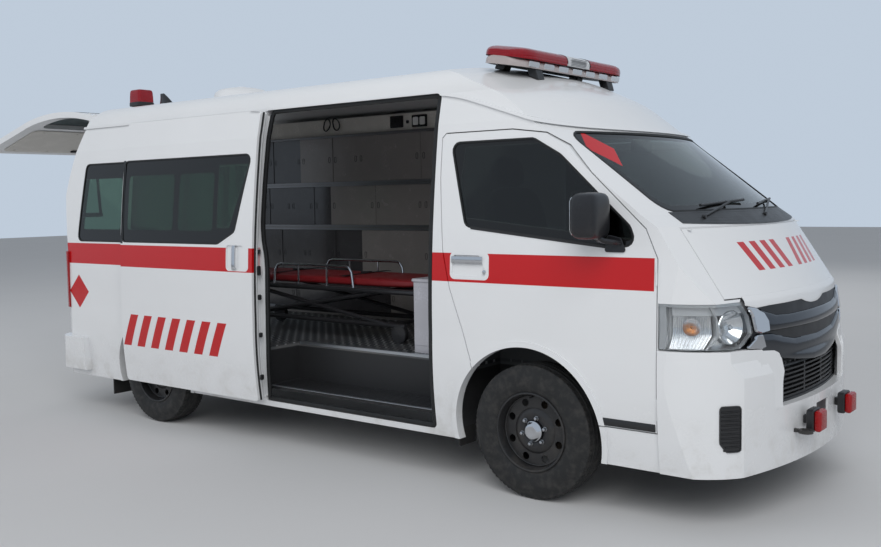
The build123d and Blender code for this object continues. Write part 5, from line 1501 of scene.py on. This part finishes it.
def door_mirrors():
    """Door mirrors: a squarish head, silvered glass behind, a curved arm and the foot on the door."""
    for name, sign in SIDES:
        mid, tall = (1.4400, 0.216) if sign < 0 else (1.4150, 0.180)
        head = cushion((2.572, sign * 1.0390, mid), (0.132, 0.188, tall), 0, (4.6, 5.2), 0.03, (72, 44))
        piece("mirror_head_" + name, head, mirror_black, "door_" + name, 180, ["mirror_" + name])
        low, high = mid - tall / 2 + 0.020, mid + tall / 2 - 0.020
        outline = rect(sign * 0.962, low, sign * 1.116, high, 0.030, 6)
        glass_plate = plate(outline, 0.0030, facing_back(2.5062), 0.0008)
        piece("mirror_glass_" + name, glass_plate, bowl_chrome, "door_" + name, 40)
        arm = [(2.640, sign * 0.925, 1.312), (2.625, sign * 0.965, 1.318), (2.600, sign * 0.995, 1.326),
            (2.585, sign * 1.010, 1.345)]
        flat = mirrored([(0.034, -0.011), (0.040, 0.0), (0.034, 0.011)])
        piece("mirror_arm_" + name, swept(arm, flat, (0, 0, 1)), mirror_black, "door_" + name, 40)
        foot = rounded([(2.585, 1.268), (2.700, 1.268), (2.670, 1.335), (2.600, 1.350)], 0.012, 5)
        piece("mirror_foot_" + name, plate(foot, 0.010, lambda u, v, w: side(sign)(u, v, w + 0.0003), 0.003),
            mirror_black, "door_" + name, 40)


door_mirrors()


# Load space

def cupboards():
    """Cupboard front on the left wall: facing, four rows of sliding panels, pulls, channels and rear bay."""
    x0, x1 = -1.570, 1.505
    rear = [block((x0, 0.561, 0.6215), (-0.5005, 0.664, 0.802), 0.002, 0.003),
        block((x0, 0.561, 0.7995), (-0.5005, 0.770, 2.036), 0.002, 0.003)]
    piece("cupboard_rear_bay", rear, laminate, "body", 30)
    facing = rect(x0, 0.655, x1, 2.038, 0.004, 3)
    piece("cupboard_facing", plate(facing, 0.0055, facing_right(0.5598), 0.001), laminate, "body", 30)
    rows = (
        (0.672, 0.892, (x0, -1.060, -0.550, -0.040, 0.480, 0.990, x1), 3),
        (0.920, 1.302, (x0, -1.211, -0.918, -0.601, -0.307, 0.350, 0.930, x1), 4),
        (1.336, 1.642, (x0, -1.350, -1.092, -0.829, -0.631, -0.171, 0.295, 0.700, 1.100, x1), 4),
        (1.672, 2.020, (x0, -1.290, -0.961, -0.612, -0.335, 0.278, 0.690, 1.100, x1), 2),
    )
    light, dark, pulls, channels = [], [], [], []
    bar = mirrored([(0.007, -0.004), (0.007, 0.004), (0.0045, 0.004), (0.0045, -0.001)])
    for low, high, edges, smoked in rows:
        for n, (a, b) in enumerate(zip(edges[:-1], edges[1:])):
            y = 0.5520 if n % 2 else 0.5475
            outline = rect(a - 0.006, low + 0.004, b + 0.006, high - 0.004, 0.003, 3)
            outline[:, 0] = np.clip(outline[:, 0], x0 + 0.003, x1 - 0.003)
            (dark if n < smoked else light).append(plate(outline, 0.0030, facing_right(y), 0.0006))
            for pull in ((a + 0.030), (b - 0.030)):
                z = (low + high) / 2
                ring = centred(pull, z, 0.009, 0.022, 0.0085, 5)
                path = xyz(ring[:, 0], np.full(len(ring), y - 0.0032), ring[:, 1])
                pulls.append(swept(path, mirrored([(0.002, -0.001), (0.0012, 0.0015)]), (0, -1, 0), True))
        for z in (low - 0.006, high + 0.006):
            path = xyz(np.linspace(x0 + 0.004, x1 - 0.004, 6), np.full(6, 0.5480), np.full(6, z))
            channels.append(swept(path, bar, (0, -1, 0)))
    for x in (x0 + 0.012, x1 - 0.012):
        path = xyz(np.full(8, x), np.full(8, 0.5470), np.linspace(0.660, 2.034, 8))
        channels.append(swept(path, mirrored([(0.010, -0.006), (0.010, 0.0045)]), (0, -1, 0)))
    piece("cupboard_panels", light, panel_pale_with_painted_shade, "body", 30)
    piece("smoked_cupboard_panels", dark, panel_smoked, "body", 30)
    piece("cupboard_pulls", pulls, black_plastic, "body", 30)
    piece("cupboard_channels", channels, rail_grey, "body", 30)


cupboards()


def upper_panel():
    """Cream lining above the cupboards with a louvred speaker, two sockets, a switch and looped hooks."""
    panel = rect(-1.400, 2.0405, 1.480, 2.165, 0.008, 4)
    piece("socket_panel", plate(panel, 0.012, facing_right(0.600), 0.002), liner_grey, "body", 30)
    frames, faces = [], []
    sockets = ((0.027, 2.106, 0.126, 0.088), (0.246, 2.101, 0.142, 0.088), (0.132, 2.100, 0.024, 0.024))
    for x, z, wide, tall in sockets:
        frames.append(plate(centred(x, z, wide / 2, tall / 2, 0.007, 4), 0.010, facing_right(0.588), 0.002))
    for k in range(6):
        z = 2.076 + 0.012 * k
        slat = rect(-0.024, z - 0.003, 0.078, z + 0.003, 0.0025, 3)
        frames.append(plate(slat, 0.004, facing_right(0.5782), 0.001))
    for x in (0.214, 0.278):
        outline = rect(x - 0.025, 2.072, x + 0.025, 2.130, 0.010, 5)
        faces.append(plate(outline, 0.004, facing_right(0.5782), 0.0015))
    piece("wall_sockets", frames, gloss_black, "body", 30)
    piece("socket_faces", faces, socket_white, "body", 30)
    hooks = []
    for x, lean in ((-0.690, 0.010), (-0.590, -0.010)):
        a = np.linspace(0.04 * math.pi, 1.96 * math.pi, 40)
        path = xyz(x + 0.034 * np.sin(a) + lean * np.cos(a), 0.578 - 0.006 * np.abs(np.cos(a)),
            2.122 + 0.046 * np.cos(a))
        hooks.append(tube(path, 0.0055, 10, (0, 1, 0)))
    piece("drip_hooks", hooks, gloss_black, "body")


upper_panel()


def stretcher_fittings():
    """Mattress with sewn channels, side rails, castor wheels and buckled straps."""
    points, faces = cushion((0.025, -0.120, 1.000), (1.880, 0.470, 0.070), 0, (9, 4), 0.02, (120, 24))
    seam = 0
    for at in (0.45, -0.40):
        seam = seam + 0.007 * np.exp(-(((points[:, 0] - at) / 0.010) ** 2))
    points[:, 2] -= seam * (points[:, 2] > 1.0)
    padded("stretcher_mattress", (points, faces), pad_vinyl, "body", 0.6, ["stretcher_pad"])
    parts = []
    for y in (-0.375, 0.135):
        path = np.array([(-0.300, y, 0.960), (-0.285, y, 1.060), (-0.262, y, 1.092), (-0.230, y, 1.100),
                (0.380, y, 1.100), (0.412, y, 1.092), (0.435, y, 1.060), (0.450, y, 0.960)])
        parts.append(tube(path, 0.009, 10, (0, 1, 0)))
        for x in (-0.06, 0.21):
            parts.append(tube([(x, y, 0.960), (x, y, 1.030), (x, y, 1.096)], 0.006, 8, (0, 1, 0)))
    piece("stretcher_side_rails", parts, chrome, "body")
    tread = [(0.046, 0.0130), (0.058, 0.0160), (0.0605, 0.010), (0.0610, 0.0), (0.0605, -0.010),
        (0.058, -0.0160), (0.046, -0.0130), (0.046, 0.0130)]
    hub = [(0.0, 0.0175), (0.012, 0.0175), (0.014, 0.0120), (0.046, 0.0130), (0.046, 0.0160), (0.049, 0.0165)]
    wheels, tyres = [], []
    for x in (-0.750, 0.800):
        for y in (-0.330, 0.090):
            tyres.append(turned(tread, (x, y, 0.681), "y", 40))
            wheels.append(turned(hub, (x, y, 0.681), "y", 40))
    piece("castor_hubs", wheels, grille_grey, "body")
    piece("castor_tyres", tyres, seal_rubber, "body")
    straps = []
    for x in (-0.330, 0.330):
        y = np.linspace(-0.350, 0.110, 30)
        path = xyz(np.full(30, x), y, 1.0365 + 0.002 * np.sin((y + 0.12) * 9))
        straps.append(swept(path, mirrored([(0.025, -0.0012), (0.025, 0.0012)]), (0, 0, 1)))
    piece("stretcher_straps", straps, seal_rubber, "body", 30)
    buckles = [block((x - 0.032, -0.145, 1.037), (x + 0.032, -0.090, 1.050), 0.003, 0.008)
        for x in (-0.330, 0.330)]
    piece("stretcher_buckles", buckles, tube_black, "body", 40)


stretcher_fittings()


def bench_details():
    """Lid, doors and latches of the grey box ahead."""
    lid = block((1.092, -0.568, 1.0402), (1.498, 0.208, 1.060), 0.005, 0.02)
    piece("bench_lid", lid, box_pale, "body", 40)
    doors = []
    for x0, x1 in ((1.115, 1.287), (1.303, 1.475)):
        doors.append(plate(rect(x0, 0.665, x1, 1.010, 0.008, 4), 0.004, facing_right(-0.5602), 0.001))
    piece("bench_doors", doors, box_pale, "body", 30)
    latches = [block((x - 0.009, -0.574, 0.850), (x + 0.009, -0.5642, 0.905), 0.002, 0.004)
        for x in (1.268, 1.322)]
    piece("bench_latches", latches, chrome, "body", 40)


bench_details()


# Tail

GATE_PIVOT = (-1.782, 2.168)
GATE_RAISED = math.radians(75)


def on_gate(points):
    """Points drawn on the shut tailgate, turned up by 75 degrees about its hinge."""
    p = np.asarray(points, float)
    a = GATE_RAISED
    dx, dz = p[..., 0] - GATE_PIVOT[0], p[..., 2] - GATE_PIVOT[1]
    return xyz(GATE_PIVOT[0] + dx * math.cos(a) + dz * math.sin(a), p[..., 1],
        GATE_PIVOT[1] - dx * math.sin(a) + dz * math.cos(a))


def tail_x(z):
    """The tail's skin at a height: a straight rise, then a circle through three points."""
    z = np.asarray(z, float)
    (x1, z1), (x2, z2), (x3, z3) = (0.010, 1.200), (0.085, 1.750), (0.265, 2.150)
    m = np.array([[x2 - x1, z2 - z1], [x3 - x1, z3 - z1]]) * 2
    c = np.linalg.solve(m, np.array([x2 ** 2 + z2 ** 2 - x1 ** 2 - z1 ** 2,
                x3 ** 2 + z3 ** 2 - x1 ** 2 - z1 ** 2]))
    r = math.dist(c, (x1, z1))
    bend = c[0] - np.sqrt(np.maximum(r * r - (z - c[1]) ** 2, 0))
    return TAIL + np.where(z < z1, 0.010 * (z - 0.5) / 0.7, bend)


def inner_face(depth):
    """Places (y, z, w) inside the gate, a depth behind its outer skin."""
    return lambda u, v, w: on_gate(xyz(tail_x(v) + depth + w, u, v + 0 * u))


def tail_fittings():
    """Gate's window bead, inner lining with its clips, pull strap, outer grip, wiper and step pad."""
    line = denser(rect(-0.680, 1.265, 0.680, 1.830, 0.070, 8), 0.02)
    def gate(lift):
        def place(u, v, w=0.0):
            return on_gate(xyz(tail_x(v) - lift - w, u, v + 0 * u))
        return place
    path = gate(0.0)(line[:, 0], line[:, 1])
    outward = on_gate(np.array([[-1.0, 0, 0.0]])) - on_gate(np.array([[0.0, 0, 0.0]]))
    piece("gate_window_seal", swept(path, mirrored([(0.006, -0.004), (0.006, 0.001), (0.002, 0.0025)]),
            outward[0], True), seal_rubber, "tailgate", 40)
    outline = rounded(mirrored([(0.690, 0.640), (0.700, 1.215)]), 0.05, 6)
    lining = plate(denser(outline, 0.03), 0.006, inner_face(0.0462), 0.002)
    piece("gate_lining", lining, liner_grey, "tailgate", 30)
    clips = []
    for u in (-0.6, -0.3, 0.0, 0.3, 0.6):
        for v in (0.68, 1.175):
            ring = circle(0.010, 16) + (u, v)
            clips.append(plate(ring, 0.003, inner_face(0.0522), 0.001))
    piece("lining_clips", clips, liner_grey, "tailgate", 50)
    pull = rect(-0.09, 0.690, 0.09, 0.730, 0.018, 5)
    piece("gate_pull", plate(pull, 0.014, inner_face(0.0524), 0.004), black_plastic, "tailgate", 40)
    handle = rect(-0.190, 1.080, 0.190, 1.130, 0.012, 5)
    piece("gate_outer_grip", plate(handle, 0.016, gate(0.0003), 0.005), chrome, "tailgate", 40)
    arm = np.array([(0.0, 1.235), (-0.16, 1.262), (-0.36, 1.290)])
    path = on_gate(xyz(tail_x(arm[:, 1]) - 0.018, arm[:, 0], arm[:, 1]))
    piece("gate_wiper_arm", tube(path, 0.006, 8, outward[0]), black_plastic, "tailgate")
    boss = turned([(0.0, 0.0), (0.019, 0.0), (0.019, 0.012), (0.013, 0.020), (0.0, 0.021)], (0, 0, 0), "x", 32,
        -1)
    spot = np.array([float(tail_x(1.235)), 0.0, 1.235])
    piece("gate_wiper_boss", (on_gate(boss[0] + spot), boss[1]), black_plastic, "tailgate")
    ribs = []
    for k in range(4):
        x = TAIL - 0.010 - 0.010 * k
        ribs.append(plate(rect(x - 0.003, -0.62, x + 0.003, 0.62, 0.0025, 3), 0.003, facing_up(0.5452), 0.0008))
    piece("rear_step_ribs", ribs, black_plastic, "body", 30)


tail_fittings()


# Floor, light and camera

VIEW_ANGLES = (38.119, 4.367, -0.937)
VIEW_FROM = (4.811, -5.015, 1.530)
LENS = 40.02


def studio():
    """A pale floor, a large soft lamp on the camera's side, two weaker ones, and a sky for the eye only."""
    f = Finish("pale studio floor")
    f.set(Base_Color=f.mix(f.noise(0.6, 4.0), (0.66, 0.66, 0.66), (0.62, 0.62, 0.62)), Roughness=0.85)
    f.bump(f.noise(90.0), 0.05, 0.001)
    mesh = bpy.data.meshes.new("floor")
    mesh.from_pydata([(-40, -40, 0), (40, -40, 0), (40, 40, 0), (-40, 40, 0)], [], [(0, 1, 2, 3)])
    mesh.materials.append(f.mat)
    floor = bpy.data.objects.new("floor", mesh)
    bpy.context.scene.collection.objects.link(floor)
    for name, place, size, power in (
        ("key lamp", (8.0, -9.0, 9.0), 11.0, 1000.0),
        ("side lamp", (-10.0, -10.0, 6.0), 9.0, 330.0),
        ("back lamp", (-2.0, 11.0, 9.0), 9.0, 300.0),
    ):
        lamp = bpy.data.lights.new(name, "AREA")
        lamp.shape = "DISK"
        lamp.size = size
        lamp.energy = power
        obj = bpy.data.objects.new(name, lamp)
        look = Vector((0, 0, 0.9)) - Vector(place)
        aim = Matrix.Translation(place) @ look.to_track_quat("-Z", "Y").to_matrix().to_4x4()
        obj.matrix_world = aim
        obj.visible_glossy = False
        bpy.context.scene.collection.objects.link(obj)
    world = bpy.data.worlds.new("soft sky")
    bpy.context.scene.world = world
    world.use_nodes = True
    tree = world.node_tree
    back = tree.nodes["Background"]
    back.inputs["Color"].default_value = (0.80, 0.85, 0.92, 1)
    back.inputs["Strength"].default_value = 0.42
    pale = tree.nodes.new("ShaderNodeBackground")
    pale.inputs["Color"].default_value = (0.52, 0.60, 0.70, 1)
    pale.inputs["Strength"].default_value = 1.0
    path = tree.nodes.new("ShaderNodeLightPath")
    seen = path.outputs["Is Camera Ray"]
    for kind in ("Is Glossy Ray", "Is Transmission Ray"):
        either = tree.nodes.new("ShaderNodeMath")
        either.operation = "MAXIMUM"
        tree.links.new(seen, either.inputs[0])
        tree.links.new(path.outputs[kind], either.inputs[1])
        seen = either.outputs[0]
    mix = tree.nodes.new("ShaderNodeMixShader")
    tree.links.new(seen, mix.inputs[0])
    tree.links.new(back.outputs[0], mix.inputs[1])
    tree.links.new(pale.outputs[0], mix.inputs[2])
    tree.links.new(mix.outputs[0], tree.nodes["World Output"].inputs[0])


def camera():
    """The photograph's viewpoint: turned by az, tipped down by el and rolled a little."""
    az, el, roll = (math.radians(a) for a in VIEW_ANGLES)
    forward = np.array([-math.sin(az) * math.cos(el), math.cos(az) * math.cos(el), -math.sin(el)])
    level = np.array([math.cos(az), math.sin(az), 0.0])
    upright = np.cross(level, forward)
    across = level * math.cos(roll) + upright * math.sin(roll)
    over = upright * math.cos(roll) - level * math.sin(roll)
    data = bpy.data.cameras.new("viewpoint")
    data.sensor_width = 36.0
    data.lens = LENS
    obj = bpy.data.objects.new("viewpoint", data)
    frame_of = np.eye(4)
    frame_of[:3, 0], frame_of[:3, 1], frame_of[:3, 2] = across, over, -forward
    frame_of[:3, 3] = VIEW_FROM
    obj.matrix_world = Matrix(frame_of.tolist())
    bpy.context.scene.collection.objects.link(obj)
    bpy.context.scene.camera = obj
    bpy.context.scene.view_settings.view_transform = "Standard"


studio()
camera()
